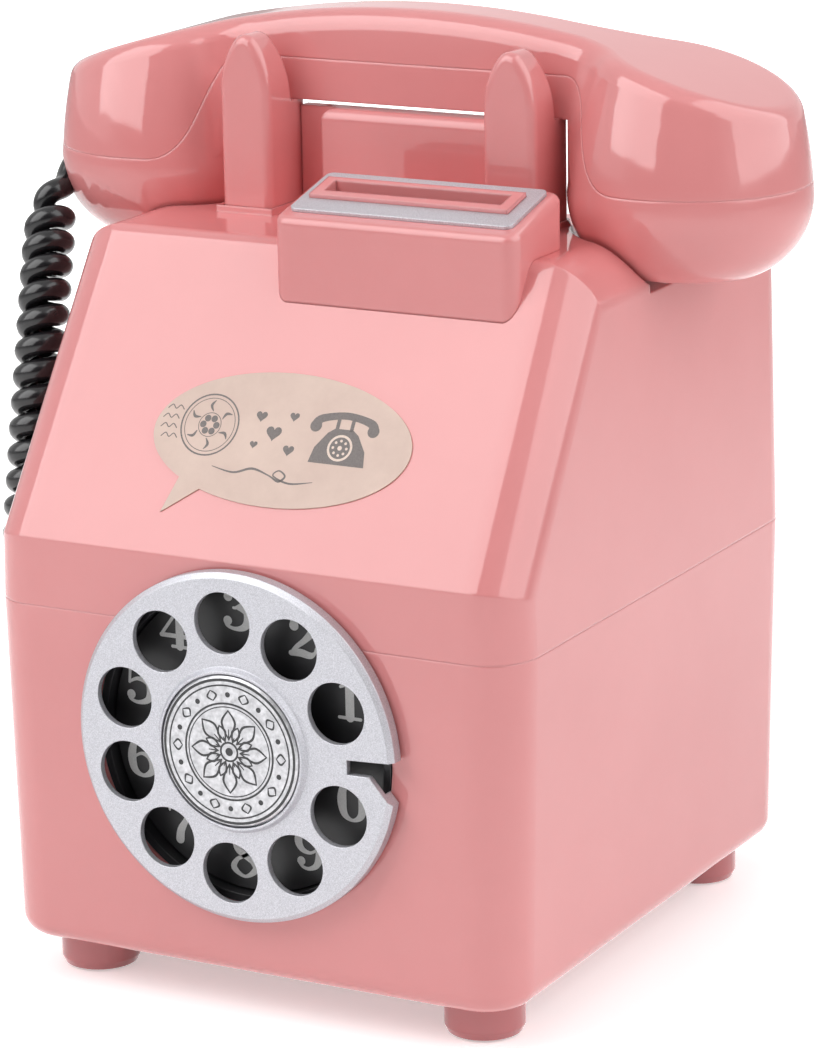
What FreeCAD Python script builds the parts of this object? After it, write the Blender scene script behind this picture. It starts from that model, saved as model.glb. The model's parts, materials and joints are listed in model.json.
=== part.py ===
import FreeCAD, Part
import math
import os
import re

import Sketcher
from FreeCAD import Placement, Rotation, Vector

# A coin bank in the shape of a small public pay telephone.
# Millimetres. +X is the front's right, +Y is back, +Z is up.
# The origin is on the floor, under the middle of the whole object.

SIZES = {
    # Casing
    "body_width": 120.0,
    "body_depth": 131.6,
    "foot_height": 8.5,
    "seam_height": 80.5,
    "wall": 2.4,
    "side_taper": 1.6,
    "roof_taper": 1.7,
    "front_corner": 10.5,
    "rear_corner": 10.0,
    "bottom_round": 4.5,
    "band_height": 14.2,
    "slope_angle": 57.0,
    "deck_rise": 71.2,
    "ridge_round": 4.0,
    # Bays for the handset's bowls
    "bay_depth": 10.5,
    "tongue_half_width": 41.0,
    "tongue_back": 8.0,
    "bay_front": -1.5,
    "bay_corner": 13.5,
    "bowl_room": 0.8,
    # Block of the coin slot
    "block_left": -8.0,
    "block_width": 54.0,
    "block_front": -36.0,
    "block_rise": 5.9,
    "block_length": 22.8,
    "block_tilt": 14.5,
    "block_corner": 3.0,
    "block_edge": 1.6,
    "trim_margin": 2.3,
    "trim_front": 3.2,
    "trim_thickness": 0.8,
    "lip_left": 4.2,
    "lip_front": 8.5,
    "lip_width": 44.3,
    "lip_depth": 8.5,
    "lip_height": 1.6,
    "slot_width": 39.5,
    "slot_depth": 4.7,
    # Cradle
    "prong_spacing": 60.8,
    "prong_width": 11.7,
    "prong_front": -8.0,
    "prong_depth": 14.5,
    "prong_rise": 36.8,
    "prong_crown": 12.5,
    "prong_blade": 9.5,
    "blade_lean": 3.0,
    "prong_edge": 1.8,
    "tenon_size": 7.0,
    "collar_height": 1.4,
    "collar_wall": 0.7,
    "crossbar_width": 35.0,
    "crossbar_right": 23.3,
    "crossbar_depth": 6.5,
    "crossbar_gap": 1.3,
    "wing_depth": 3.0,
    # Dial, lengths along its axis measured from the casing's front
    "dial_drop": 22.65,
    "dial_opening": 33.5,
    "seat_depth": 4.0,
    "seat_floor": 2.0,
    "seat_wall": 1.6,
    "flange_half": 35.0,
    "flange_thickness": 2.0,
    "flange_screw": 29.0,
    "disc_thickness": 1.2,
    "wheel_radius": 35.9,
    "wheel_back": 0.75,
    "wheel_front": 4.2,
    "wheel_bevel": 1.0,
    "finger_hole": 6.3,
    "finger_circle": 25.8,
    "finger_first": 24.3,
    "finger_step": 34.67,
    "finger_count": 10.0,
    "notch_inner": 25.7,
    "notch_half": 1.5,
    "wheel_plate": 1.4,
    "wheel_rim": 2.2,
    "hub_radius": 17.0,
    "hub_margin": 1.2,
    "hub_rise": 1.1,
    "hub_bevel": 0.7,
    "badge_radius": 15.5,
    "badge_edge": 0.4,
    "badge_thickness": 1.6,
    "dial_reach": 5.5,
    "collar_radius": 8.0,
    "head_radius": 5.5,
    "head_thickness": 1.2,
    "friction_thickness": 1.2,
    "spindle_radius": 3.0,
    "spindle_chamfer": 0.5,
    "washer_radius": 7.0,
    "washer_thickness": 1.0,
    "nut_flats": 10.0,
    "nut_thickness": 2.4,
    "spindle_tail": 1.5,
    # Feet, hatch and screws
    "foot_radius": 8.25,
    "foot_round": 2.0,
    "foot_x": 45.0,
    "foot_y": 50.5,
    "foot_spigot": 3.0,
    "hatch_radius": 20.0,
    "hatch_flange": 23.0,
    "hatch_flange_thickness": 1.8,
    "hatch_lug_reach": 22.3,
    "hatch_lug_width": 8.0,
    "hatch_lug_thickness": 1.8,
    "hatch_grip_depth": 3.2,
    "latch_turn": 60.0,
    "post_x": 49.0,
    "post_y": 36.0,
    "post_radius": 5.0,
    "post_seat": 8.0,
    "screw_radius": 1.5,
    "screw_head": 2.9,
    "screw_head_thickness": 1.8,
    "screw_bite": 10.0,
    "small_screw": 1.0,
    "small_screw_head": 1.9,
    # Handset
    "handset_y": 14.5,
    "cup_spacing": 120.0,
    "cup_radius": 24.6,
    "cup_flat": 15.0,
    "bulge_out": 0.76,
    "bulge_rise": 0.36,
    "cup_clearance": 2.1,
    "cup_seam_rise": 18.2,
    "cup_lean": 8.0,
    "bend_lean": 1.5,
    "bend_share": 0.36,
    "neck_front": 15.0,
    "neck_back": 35.0,
    "handle_depth": 22.0,
    "handle_arch": 8.8,
    "handle_gap": 22.3,
    "handle_rise": 19.3,
    "parting_rise": 8.5,
    "dip_start": 0.92,
    "dip_end": 0.25,
    "handset_round": 4.5,
    "handset_wall": 2.2,
    "handset_screw_x": 20.0,
    "handset_screw_reach": 6.0,
    "boss_radius": 4.0,
    # Cord and its bushes
    "wire_diameter": 4.8,
    "curl_radius": 3.2,
    "curl_pitch": 6.6,
    "easing_curls": 3.0,
    "cord_tail": 13.0,
    "cord_start_out": 18.5,
    "cord_start_y": 7.0,
    "cord_start_drop": 1.0,
    "cord_exit_y": -36.5,
    "cord_exit_drop": 23.0,
    "bush_radius": 3.6,
    "bush_flange": 5.6,
    "bush_flange_thickness": 1.4,
    "sleeve_radius": 3.3,
    "sleeve_length": 5.0,
    "sleeve_bore": 11.0,
    # Label on the slope
    "label_x": 2.2,
    "label_rise": 26.1,
    "label_half_width": 29.0,
    "label_half_height": 14.0,
    "label_thickness": 0.3,
    # Clearances
    "slip": 0.3,
    "snug": 0.05,
}

doc = FreeCAD.newDocument("pay_phone_bank")
sheet = doc.addObject("Spreadsheet::Sheet", "sizes")
for row, (alias, size) in enumerate(SIZES.items(), start=1):
    sheet.set(f"A{row}", alias)
    sheet.set(f"B{row}", str(size))
    sheet.setAlias(f"B{row}", alias)
doc.recompute()

OUTWARD = Rotation(Vector(1, 0, 0), 90)
FRONT_FACE = "-body_depth / 2"
PARTS = []


def formula(text):
    """The text with each size written as a reference to its cell."""
    return re.sub(r"[a-z_]+", lambda word: named_cell(word.group()), text)


def named_cell(word):
    return f"sizes.{word}" if word in SIZES else word


def num(text):
    """The present value of a formula of sizes, as a number."""
    return float(sheet.evalExpression(formula(text)))


def place(item, x="0", y="0", z="0", turn=None):
    """Binds an item's place. All of them move back by half the dial's reach, to centre the box."""
    item.Placement = Placement(Vector(), turn or Rotation())
    item.setExpression("Placement.Base.x", formula(x))
    item.setExpression("Placement.Base.y", formula(f"{y} + dial_reach / 2"))
    item.setExpression("Placement.Base.z", formula(z))


def new_body(name, **where):
    body = doc.addObject("PartDesign::Body", name)
    body.Label = name
    place(body, **where)
    return body


def finished(item):
    PARTS.append(item)
    return item


def form(name, shape):
    """A piece whose shape is worked out from the sheet with the geometry functions."""
    item = doc.addObject("Part::Feature", name)
    item.Label = name
    item.Shape = shape
    shift = Placement(Vector(0, num("dial_reach / 2"), 0), Rotation())
    item.Placement = shift.multiply(item.Placement)
    return finished(item)


# Sketches

def new_sketch(body, name, role="XY_Plane", height="0"):
    sketch = body.newObject("Sketcher::SketchObject", name)
    plane = next(item for item in body.Origin.OriginFeatures if item.Role == role)
    sketch.AttachmentSupport = (plane, "")
    sketch.MapMode = "FlatFace"
    sketch.setExpression("AttachmentOffset.Base.z", formula(height))
    return sketch


def fix_point(sketch, index, end, x, y):
    """Ties a point of a sketch to formulas for its two coordinates."""
    for kind, text, axis in (("DistanceX", x, -2), ("DistanceY", y, -1)):
        value = num(text)
        if text == "0":
            sketch.addConstraint(Sketcher.Constraint("PointOnObject", index, end, axis))
            continue
        tie = sketch.addConstraint(Sketcher.Constraint(kind, -1, 1, index, end, value))
        sketch.setExpression(f"Constraints[{tie}]", formula(text))


def polygon_sketch(body, name, points, **where):
    sketch = new_sketch(body, name, **where)
    spots = [Vector(num(x), num(y), 0) for x, y in points]
    count = len(spots)
    for index in range(count):
        sketch.addGeometry(Part.LineSegment(spots[index], spots[(index + 1) % count]), False)
    for index, (x, y) in enumerate(points):
        fix_point(sketch, index, 1, x, y)
        sketch.addConstraint(Sketcher.Constraint("Coincident", index, 2, (index + 1) % count, 1))
    return sketch


def rectangle_sketch(body, name, left, right, low, high, **where):
    corners = [(left, low), (right, low), (right, high), (left, high)]
    return polygon_sketch(body, name, corners, **where)


def circle_sketch(body, name, circles, **where):
    """Circles given as formulas for x, y and the radius."""
    sketch = new_sketch(body, name, **where)
    for x, y, radius in circles:
        circle = Part.Circle(Vector(num(x), num(y), 0), Vector(0, 0, 1), num(radius))
        index = sketch.addGeometry(circle, False)
        if x == "0" and y == "0":
            sketch.addConstraint(Sketcher.Constraint("Coincident", index, 3, -1, 1))
        else:
            fix_point(sketch, index, 3, x, y)
        tie = sketch.addConstraint(Sketcher.Constraint("Radius", index, num(radius)))
        sketch.setExpression(f"Constraints[{tie}]", formula(radius))
    return sketch


def rounded_sketch(body, name, half_width, half_depth, front_round, rear_round, height):
    """A rectangle about the origin with one radius at the front and one at the rear."""
    sketch = new_sketch(body, name, height=height)
    wide = num(half_width)
    deep = num(half_depth)
    corners = [(-1, -1, front_round), (1, -1, front_round), (1, 1, rear_round), (-1, 1, rear_round)]
    ends = []
    for quarter, (side, back, radius) in enumerate(corners):
        r = num(radius)
        centre = Vector(side * (wide - r), back * (deep - r), 0)
        start = math.pi + quarter * math.pi / 2
        circle = Part.Circle(centre, Vector(0, 0, 1), r)
        arc = sketch.addGeometry(Part.ArcOfCircle(circle, start, start + math.pi / 2), False)
        tie = sketch.addConstraint(Sketcher.Constraint("Radius", arc, r))
        sketch.setExpression(f"Constraints[{tie}]", formula(radius))
        ends.append((arc, centre + r * Vector(math.cos(start), math.sin(start), 0),
                     centre + r * Vector(-math.sin(start), math.cos(start), 0)))
    sides = [("Horizontal", "DistanceY", f"-({half_depth})"), ("Vertical", "DistanceX", half_width),
             ("Horizontal", "DistanceY", half_depth), ("Vertical", "DistanceX", f"-({half_width})")]
    for index, (direction, distance, text) in enumerate(sides):
        arc, _, leave = ends[index]
        after, arrive, _ = ends[(index + 1) % 4]
        line = sketch.addGeometry(Part.LineSegment(leave, arrive), False)
        sketch.addConstraint(Sketcher.Constraint(direction, line))
        sketch.addConstraint(Sketcher.Constraint("Tangent", arc, 2, line, 1))
        sketch.addConstraint(Sketcher.Constraint("Tangent", line, 2, after, 1))
        tie = sketch.addConstraint(Sketcher.Constraint(distance, -1, 1, line, 1, num(text)))
        sketch.setExpression(f"Constraints[{tie}]", formula(text))
    return sketch


# Features

def pad(body, name, sketch, length):
    feature = body.newObject("PartDesign::Pad", name)
    feature.Profile = sketch
    feature.setExpression("Length", formula(length))
    return feature


def pocket(body, name, sketch, length):
    """A pocket that cuts as far to both sides of its sketch as the length."""
    feature = body.newObject("PartDesign::Pocket", name)
    feature.Profile = sketch
    feature.SideType = "Symmetric"
    feature.setExpression("Length", formula(f"2 * ({length})"))
    return feature


def turned(body, name, profile):
    """Turns a closed profile of (radius, along) formulas about the body's Z axis."""
    sketch = polygon_sketch(body, f"{name}_profile", profile, role="XZ_Plane")
    feature = body.newObject("PartDesign::Revolution", f"{name}_turning")
    feature.Profile = sketch
    feature.ReferenceAxis = (sketch, ["V_Axis"])
    feature.Angle = 360
    return feature


def loft(body, name, kind, first, second):
    feature = body.newObject(f"PartDesign::{kind}Loft", name)
    feature.Profile = first
    feature.Sections = [second]
    feature.Ruled = True
    return feature


def rounded_edges(body, name, radius, wanted):
    """Rounds the edges of the body's last feature for which wanted(edge) holds."""
    doc.recompute()
    base = body.Tip
    names = [f"Edge{index}" for index, edge in enumerate(base.Shape.Edges, start=1) if wanted(edge)]
    feature = body.newObject("PartDesign::Fillet", name)
    feature.Base = (base, names)
    feature.setExpression("Radius", formula(radius))
    return feature


def copies(name, template, spots):
    """One node of identical pieces: the template's shape at each spot."""
    doc.recompute()
    shapes = []
    for x, y in spots:
        piece = template.Shape.copy()
        piece.translate(Vector(x, y, 0))
        shapes.append(piece)
    group = doc.addObject("Part::Feature", name)
    group.Label = name
    group.Shape = Part.makeCompound(shapes)
    return finished(group)


def four_spots(x, y):
    return [(side * num(x), back * num(y)) for side in (-1, 1) for back in (-1, 1)]


# Geometry functions for the moulded forms

def polygon_face(points):
    return Part.Face(Part.makePolygon(points + [points[0]]))


def across(points, half_width):
    """A prism along X with a side view of (y, z) points."""
    face = polygon_face([Vector(-half_width, y, z) for y, z in points])
    return face.extrude(Vector(2 * half_width, 0, 0))


def block(x_low, x_high, y_low, y_high, z_low, z_high):
    return Part.makeBox(x_high - x_low, y_high - y_low, z_high - z_low, Vector(x_low, y_low, z_low))


def upright(radius, x, y, z_low, z_high):
    return Part.makeCylinder(radius, z_high - z_low, Vector(x, y, z_low))


def rounded_wire(half_width, front, back, front_round, rear_round, z):
    """A closed wire with rounded corners in a level plane."""
    corners = [(-1, front, 1, front_round), (1, front, 1, front_round),
               (1, back, -1, rear_round), (-1, back, -1, rear_round)]
    arcs = []
    for quarter, (side, y, inward, radius) in enumerate(corners):
        centre = Vector(side * (half_width - radius), y + inward * radius, z)
        start = math.pi + quarter * math.pi / 2
        circle = Part.Circle(centre, Vector(0, 0, 1), radius)
        arcs.append(Part.ArcOfCircle(circle, start, start + math.pi / 2))
    edges = []
    for index, arc in enumerate(arcs):
        edges.append(arc.toShape())
        edges.append(Part.LineSegment(arc.EndPoint, arcs[(index + 1) % 4].StartPoint).toShape())
    return Part.Wire(edges)


def slope_height(y, inset):
    """Height of the sloping front at y, drawn in by inset."""
    angle = math.radians(num("slope_angle"))
    crease = num("seam_height + band_height")
    return crease + (y - num(FRONT_FACE)) * math.tan(angle) - inset / math.cos(angle)


def ridge_point(inset):
    """Where the slope meets the deck, drawn in by inset."""
    deck = num("seam_height + deck_rise") - inset
    angle = math.radians(num("slope_angle"))
    y = num(FRONT_FACE) + (deck - slope_height(num(FRONT_FACE), inset)) / math.tan(angle)
    return y, deck


def roof_form(inset):
    """Upper housing as a closed solid, drawn in by inset, without bays and slot block."""
    seam = num("seam_height")
    top = seam + 1.3 * num("deck_rise")
    reach = num("body_depth")
    half_low = num("body_width / 2") - inset
    half_high = half_low - num("roof_taper") * (top - seam) / num("deck_rise")
    front = num(FRONT_FACE) + inset
    front_round = num("front_corner") - inset
    rear_round = num("rear_corner") - inset
    column = Part.makeLoft([
        rounded_wire(half_low, front, -front, front_round, rear_round, seam),
        rounded_wire(half_high, front, -front, front_round, rear_round, top)], True, True)
    sharp = Part.makeLoft([
        Part.makePolygon([Vector(side * half, y, z) for side, y in
                          ((-1, -reach), (1, -reach), (1, reach), (-1, reach), (-1, -reach))])
        for half, z in ((half_low, seam), (half_high, top))], True, True)
    ridge_y, deck = ridge_point(inset)
    tangent = math.tan(math.radians(num("slope_angle")))
    low_y = ridge_y - (deck - seam) / tangent
    high_y = ridge_y + (top - deck) / tangent
    wedge = sharp.common(across([(low_y, seam), (high_y, top), (reach, top), (reach, seam)], reach))
    wedge = wedge.makeFillet(front_round, [
        edge for edge in wedge.Edges
        if edge.BoundBox.ZLength > 0.9 * (top - seam) and edge.BoundBox.YLength > 0.5 * (high_y - low_y)])
    slab = sharp.common(block(-reach, reach, -reach, reach, seam, deck))
    slab = slab.makeFillet(front_round, [
        edge for edge in slab.Edges
        if edge.BoundBox.YLength > 1.5 * reach and edge.BoundBox.ZMin > deck - 1])
    solid = column.common(wedge).common(slab)
    return solid.common(ridge_form(inset, reach, seam)).removeSplitter()


def ridge_form(inset, reach, seam):
    """A prism that rounds the ridge between slope and deck."""
    angle = math.radians(num("slope_angle"))
    ridge_y, deck = ridge_point(inset)
    radius = num("ridge_round")
    setback = radius * math.tan(angle / 2)
    low_y = ridge_y - (deck - seam) / math.tan(angle)
    start = Vector(-reach, ridge_y - setback * math.cos(angle), deck - setback * math.sin(angle))
    end = Vector(-reach, ridge_y + setback, deck)
    centre = Vector(-reach, ridge_y + setback, deck - radius)
    middle = centre + radius * Vector(0, -math.sin(angle / 2), math.cos(angle / 2))
    outline = [Part.LineSegment(Vector(-reach, low_y, seam), start).toShape(),
               Part.Arc(start, middle, end).toShape(),
               Part.LineSegment(end, Vector(-reach, reach, deck)).toShape(),
               Part.LineSegment(Vector(-reach, reach, deck), Vector(-reach, reach, seam)).toShape(),
               Part.LineSegment(Vector(-reach, reach, seam), Vector(-reach, low_y, seam)).toShape()]
    return Part.Face(Part.Wire(outline)).extrude(Vector(2 * reach, 0, 0))


def bay_form(grow):
    """The space over the shelf where the handset's bowls hang, grown by grow."""
    floor = num("seam_height + deck_rise - bay_depth") - grow
    height = num("deck_rise")
    half = num("tongue_half_width") - grow
    front = num("bay_front") - grow
    radius = num("bay_corner") + grow
    reach = num("body_depth")
    shapes = [block(-reach, reach, num("tongue_back") - grow, reach, floor, floor + height)]
    for side in (-1, 1):
        corner = Vector(side * (half + radius), front + radius, floor)
        outline = [
            Part.Arc(corner + Vector(-side * radius, 0, 0),
                     corner + radius * math.sqrt(0.5) * Vector(-side, -1, 0),
                     corner + Vector(0, -radius, 0)).toShape(),
            Part.makePolygon([corner + Vector(0, -radius, 0), Vector(side * reach, front, floor),
                              Vector(side * reach, reach, floor), Vector(side * half, reach, floor),
                              corner + Vector(-side * radius, 0, 0)])]
        outline = [edge for shape in outline for edge in shape.Edges]
        shapes.append(Part.Face(Part.Wire(outline)).extrude(Vector(0, 0, height)))
    room = num("bowl_room") + grow
    shapes += [bowl_form(side * num("cup_spacing / 2"), -room) for side in (-1, 1)]
    return shapes[0].fuse(shapes[1:]).removeSplitter()


def on_block_top(shape):
    """Moves a shape from the slot block's own plane, x across and y up its tilted top, to its place."""
    height = num("seam_height + deck_rise + block_rise")
    shape.Placement = Placement(Vector(num("block_left"), num("block_front"), height),
                                Rotation(Vector(1, 0, 0), num("block_tilt")))
    return shape


def slot_block_form(inset):
    """The slot block as a closed solid that reaches down into the roof, drawn in by inset."""
    tilt = math.radians(num("block_tilt"))
    front = num("block_front")
    front_top = num("seam_height + deck_rise + block_rise")
    back = front + num("block_length") * math.cos(tilt) - inset
    foot = slope_height(front, num("wall")) - num("wall")
    drop = inset / math.cos(tilt)
    side_view = [(front + inset, foot), (front + inset, front_top + inset * math.tan(tilt) - drop),
                 (back, front_top + (back - front) * math.tan(tilt) - drop), (back, foot)]
    left = num("block_left") + inset
    face = polygon_face([Vector(left, y, z) for y, z in side_view])
    return face.extrude(Vector(num("block_width") - 2 * inset, 0, 0))


def is_upright(edge):
    box = edge.BoundBox
    return box.ZLength > 5 and box.XLength < 0.01 and box.YLength < 0.01


def rounded_slot_block():
    solid = slot_block_form(0)
    solid = solid.makeFillet(num("block_corner"), [edge for edge in solid.Edges if is_upright(edge)])
    edge_top = num("seam_height + deck_rise + block_rise") - 0.1
    rim = [edge for edge in solid.Edges if edge.BoundBox.ZMin > edge_top]
    return solid.makeFillet(num("block_edge"), rim)


def dial_hole():
    """The round opening in the front wall, across the seam."""
    start = Vector(0, num(FRONT_FACE) - 1, num("seam_height - dial_drop"))
    return Part.makeCylinder(num("dial_opening"), num("wall") + 2, start, Vector(0, 1, 0))


def seat_screw_spots():
    reach = num("flange_screw")
    middle = num("seam_height - dial_drop")
    return [(side * reach, middle + rise * reach) for side in (-1, 1) for rise in (-1, 1)]


def seat_screw_bores():
    """Blind bores in the back of the front wall for the dial seat's screws."""
    depth = num("wall * 0.8")
    start = num(FRONT_FACE) + num("wall") - depth
    return [Part.makeCylinder(num("small_screw + snug"), depth + 0.1, Vector(x, start, z), Vector(0, 1, 0))
            for x, z in seat_screw_spots()]


# Pieces of the casing

def make_lower_shell():
    body = new_body("lower_shell")
    half = "body_width / 2"
    deep = "body_depth / 2"
    low = "foot_height"
    top = rounded_sketch(body, "rim", half, deep, "front_corner", "rear_corner", "seam_height")
    bottom = rounded_sketch(body, "floor_line", f"{half} - side_taper", deep,
                            "front_corner", "rear_corner", low)
    loft(body, "tub", "Additive", top, bottom)
    lowest = num(low) + 0.01
    rounded_edges(body, "bottom_rounding", "bottom_round", lambda edge: edge.BoundBox.ZMax < lowest)
    inner_top = rounded_sketch(body, "inner_rim", f"{half} - wall", f"{deep} - wall",
                               "front_corner - wall", "rear_corner - wall", "seam_height")
    inner_low = rounded_sketch(body, "inner_floor", f"{half} - side_taper - wall", f"{deep} - wall",
                               "front_corner - wall", "rear_corner - wall", f"{low} + wall")
    loft(body, "hollow", "Subtractive", inner_top, inner_low)
    posts = [(x, y) for x in ("-post_x", "post_x") for y in ("-post_y", "post_y")]
    feet = [(x, y) for x in ("-foot_x", "foot_x") for y in ("-foot_y", "foot_y")]
    post_rings = circle_sketch(body, "post_rings", [(x, y, "post_radius") for x, y in posts],
                               height=f"{low} + wall / 2")
    pad(body, "posts", post_rings, f"seam_height - {low} - wall / 2")
    head_wells = circle_sketch(body, "head_wells", [(x, y, "screw_head + slip") for x, y in posts], height="0")
    pocket(body, "screw_wells", head_wells, "seam_height - post_seat")
    shank_holes = circle_sketch(body, "shank_holes", [(x, y, "screw_radius + snug") for x, y in posts],
                                height="seam_height")
    pocket(body, "screw_bores", shank_holes, "post_seat + 1")
    sockets = circle_sketch(body, "foot_sockets", [(x, y, "foot_spigot + snug") for x, y in feet], height=low)
    pocket(body, "socket_bores", sockets, "wall + 1")
    mouth = circle_sketch(body, "hatch_mouth", [("0", "0", "hatch_radius + slip")], height=low)
    pocket(body, "hatch_opening", mouth, "wall + 1")
    notches = rectangle_sketch(body, "hatch_notches", "-hatch_lug_reach - slip", "hatch_lug_reach + slip",
                               "-hatch_lug_width / 2 - slip", "hatch_lug_width / 2 + slip", height=low)
    notches.AttachmentOffset = Placement(Vector(0, 0, num(low)), Rotation(Vector(0, 0, 1), num("latch_turn")))
    pocket(body, "hatch_notch_cuts", notches, "wall + 1")
    ring = circle_sketch(body, "dial_ring", [("0", "seam_height - dial_drop", "dial_opening")],
                         role="XZ_Plane", height="body_depth / 2")
    pocket(body, "dial_cut", ring, "wall + 1")
    screw_level = "seam_height - dial_drop - flange_screw"
    low_screws = circle_sketch(body, "seat_screws", [
        (x, screw_level, "small_screw + snug") for x in ("-flange_screw", "flange_screw")],
        role="XZ_Plane", height="body_depth / 2 - wall")
    pocket(body, "seat_screw_bores", low_screws, "wall * 0.8")
    exit_level = "seam_height - cord_exit_drop"
    cord = circle_sketch(body, "cord_hole", [("cord_exit_y", exit_level, "bush_radius + snug")],
                         role="YZ_Plane", height="-body_width / 2")
    pocket(body, "cord_cut", cord, "wall + side_taper + 1")
    finished(body)


def make_upper_shell():
    outer = roof_form(0).cut(bay_form(0))
    inner = roof_form(num("wall")).cut(bay_form(num("wall")))
    seam = num("seam_height")
    ceiling = seam + num("deck_rise")
    posts = [upright(num("post_radius"), x, y, seam, ceiling) for x, y in four_spots("post_x", "post_y")]
    shell = outer.cut(inner)
    for post in posts:
        shell = shell.fuse(post.common(outer))
    shell = shell.fuse(collar_forms())
    bores = [upright(num("screw_radius + snug"), x, y, seam - 1, seam + num("screw_bite + slip"))
             for x, y in four_spots("post_x", "post_y")]
    bowls = [bowl_form(side * num("cup_spacing / 2"), -num("bowl_room")) for side in (-1, 1)]
    window = slot_block_form(num("wall / 2"))
    shell = shell.cut([dial_hole(), window, crossbar_tab(num("snug")), *tenon_holes(), *bores,
                       *seat_screw_bores(), *bowls])
    form("upper_shell", shell.removeSplitter())


def make_slot_block():
    """The slot block's shell, which stands on the roof with a skirt inside the roof's window."""
    walls = rounded_slot_block().cut(slot_block_form(num("wall")))
    skirt = walls.common(slot_block_form(num("wall / 2 + snug")))
    skirt = skirt.common(roof_form(0)).cut(roof_form(num("wall")))
    piece = walls.cut(roof_form(0)).fuse([skirt, slot_lip_form()]).cut(slot_cut())
    form("slot_block", piece.removeSplitter())


def make_crossbar():
    """The low wall at the back of the tongue, between the prongs, with thin wings up to them."""
    back = num("tongue_back")
    half = num("crossbar_width / 2")
    deck = num("seam_height + deck_rise")
    top = num("seam_height + deck_rise + handle_gap - crossbar_gap")
    wall = block(-half, num("crossbar_right"), back - num("crossbar_depth"), back, deck, top)
    rim = [edge for edge in wall.Edges if edge.BoundBox.ZMin > deck + 1 and edge.BoundBox.ZLength < 0.01]
    wall = wall.makeFillet(num("crossbar_depth / 3"), rim)
    reach = num("(prong_spacing - prong_width) / 2 - slip")
    wings = block(-reach, reach, back - num("wing_depth"), back, deck, top)
    piece = wall.fuse([wings, crossbar_tab(0)]).cut(collar_forms())
    form("crossbar", piece.removeSplitter())


def crossbar_tab(gap):
    """The tab under the crossbar and, grown by gap, its slot through the deck."""
    half = num("(crossbar_width - crossbar_depth) / 2") + gap
    back = num("tongue_back - wall - snug * 2") + gap
    deck = num("seam_height + deck_rise")
    return block(-half, half, back - num("wall") - 2 * gap, back, deck - num("wall"), deck + gap)


def collar_forms():
    """A low rim round the foot of each prong."""
    deck = num("seam_height + deck_rise")
    gap = num("snug * 2")
    rim = gap + num("collar_wall")
    half = num("prong_width / 2")
    front = num("prong_front")
    back = front + num("prong_depth")
    collars = []
    for side in (-1, 1):
        x = side * num("prong_spacing / 2")
        outside = block(x - half - rim, x + half + rim, front - rim, back + rim,
                        deck - 1, deck + num("collar_height"))
        inside = block(x - half - gap, x + half + gap, front - gap, back + gap,
                       deck, deck + num("collar_height") + 1)
        collars.append(outside.cut(inside))
    return collars


def tenon_spot():
    return num("prong_front + prong_depth / 2 - 1")


def tenon_holes():
    half = num("tenon_size / 2 + snug")
    deck = num("seam_height + deck_rise")
    y = tenon_spot()
    return [block(x - half, x + half, y - half, y + half, deck - num("wall") - 1, deck + 1)
            for x in (-num("prong_spacing / 2"), num("prong_spacing / 2"))]


def slot_lip_form():
    """The raised pink lip round the coin slot."""
    lip = Part.makeBox(num("lip_width"), num("lip_depth"), num("lip_height") + 1,
                       Vector(num("lip_left"), num("lip_front"), -1))
    return on_block_top(lip)


def slot_cut():
    """The coin slot, straight down through the lip and the block's tilted top."""
    tilt = math.radians(num("block_tilt"))
    left = num("block_left + lip_left + (lip_width - slot_width) / 2")
    middle = num("block_front") + num("lip_front + lip_depth / 2") * math.cos(tilt)
    half = num("slot_depth / 2")
    low = num("seam_height + deck_rise") - num("wall")
    high = low + num("block_rise + block_length")
    return block(left, left + num("slot_width"), middle - half, middle + half, low, high)


def make_slot_trim():
    """The silver frame that lies on the slot block's top, round the lip."""
    margin = num("trim_margin")
    front = num("trim_front")
    thick = num("trim_thickness")
    width = num("block_width") - 2 * margin
    plate = Part.makeBox(width, num("block_length") - front - margin, thick, Vector(margin, front, 0))
    plate = plate.makeFillet(num("block_corner / 2"), [
        edge for edge in plate.Edges if edge.BoundBox.ZLength > 0.9 * thick])
    gap = num("snug * 2")
    window = Part.makeBox(num("lip_width") + 2 * gap, num("lip_depth") + 2 * gap, thick + 2,
                          Vector(num("lip_left") - gap, num("lip_front") - gap, -1))
    form("slot_trim", on_block_top(plate.cut(window)))


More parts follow.
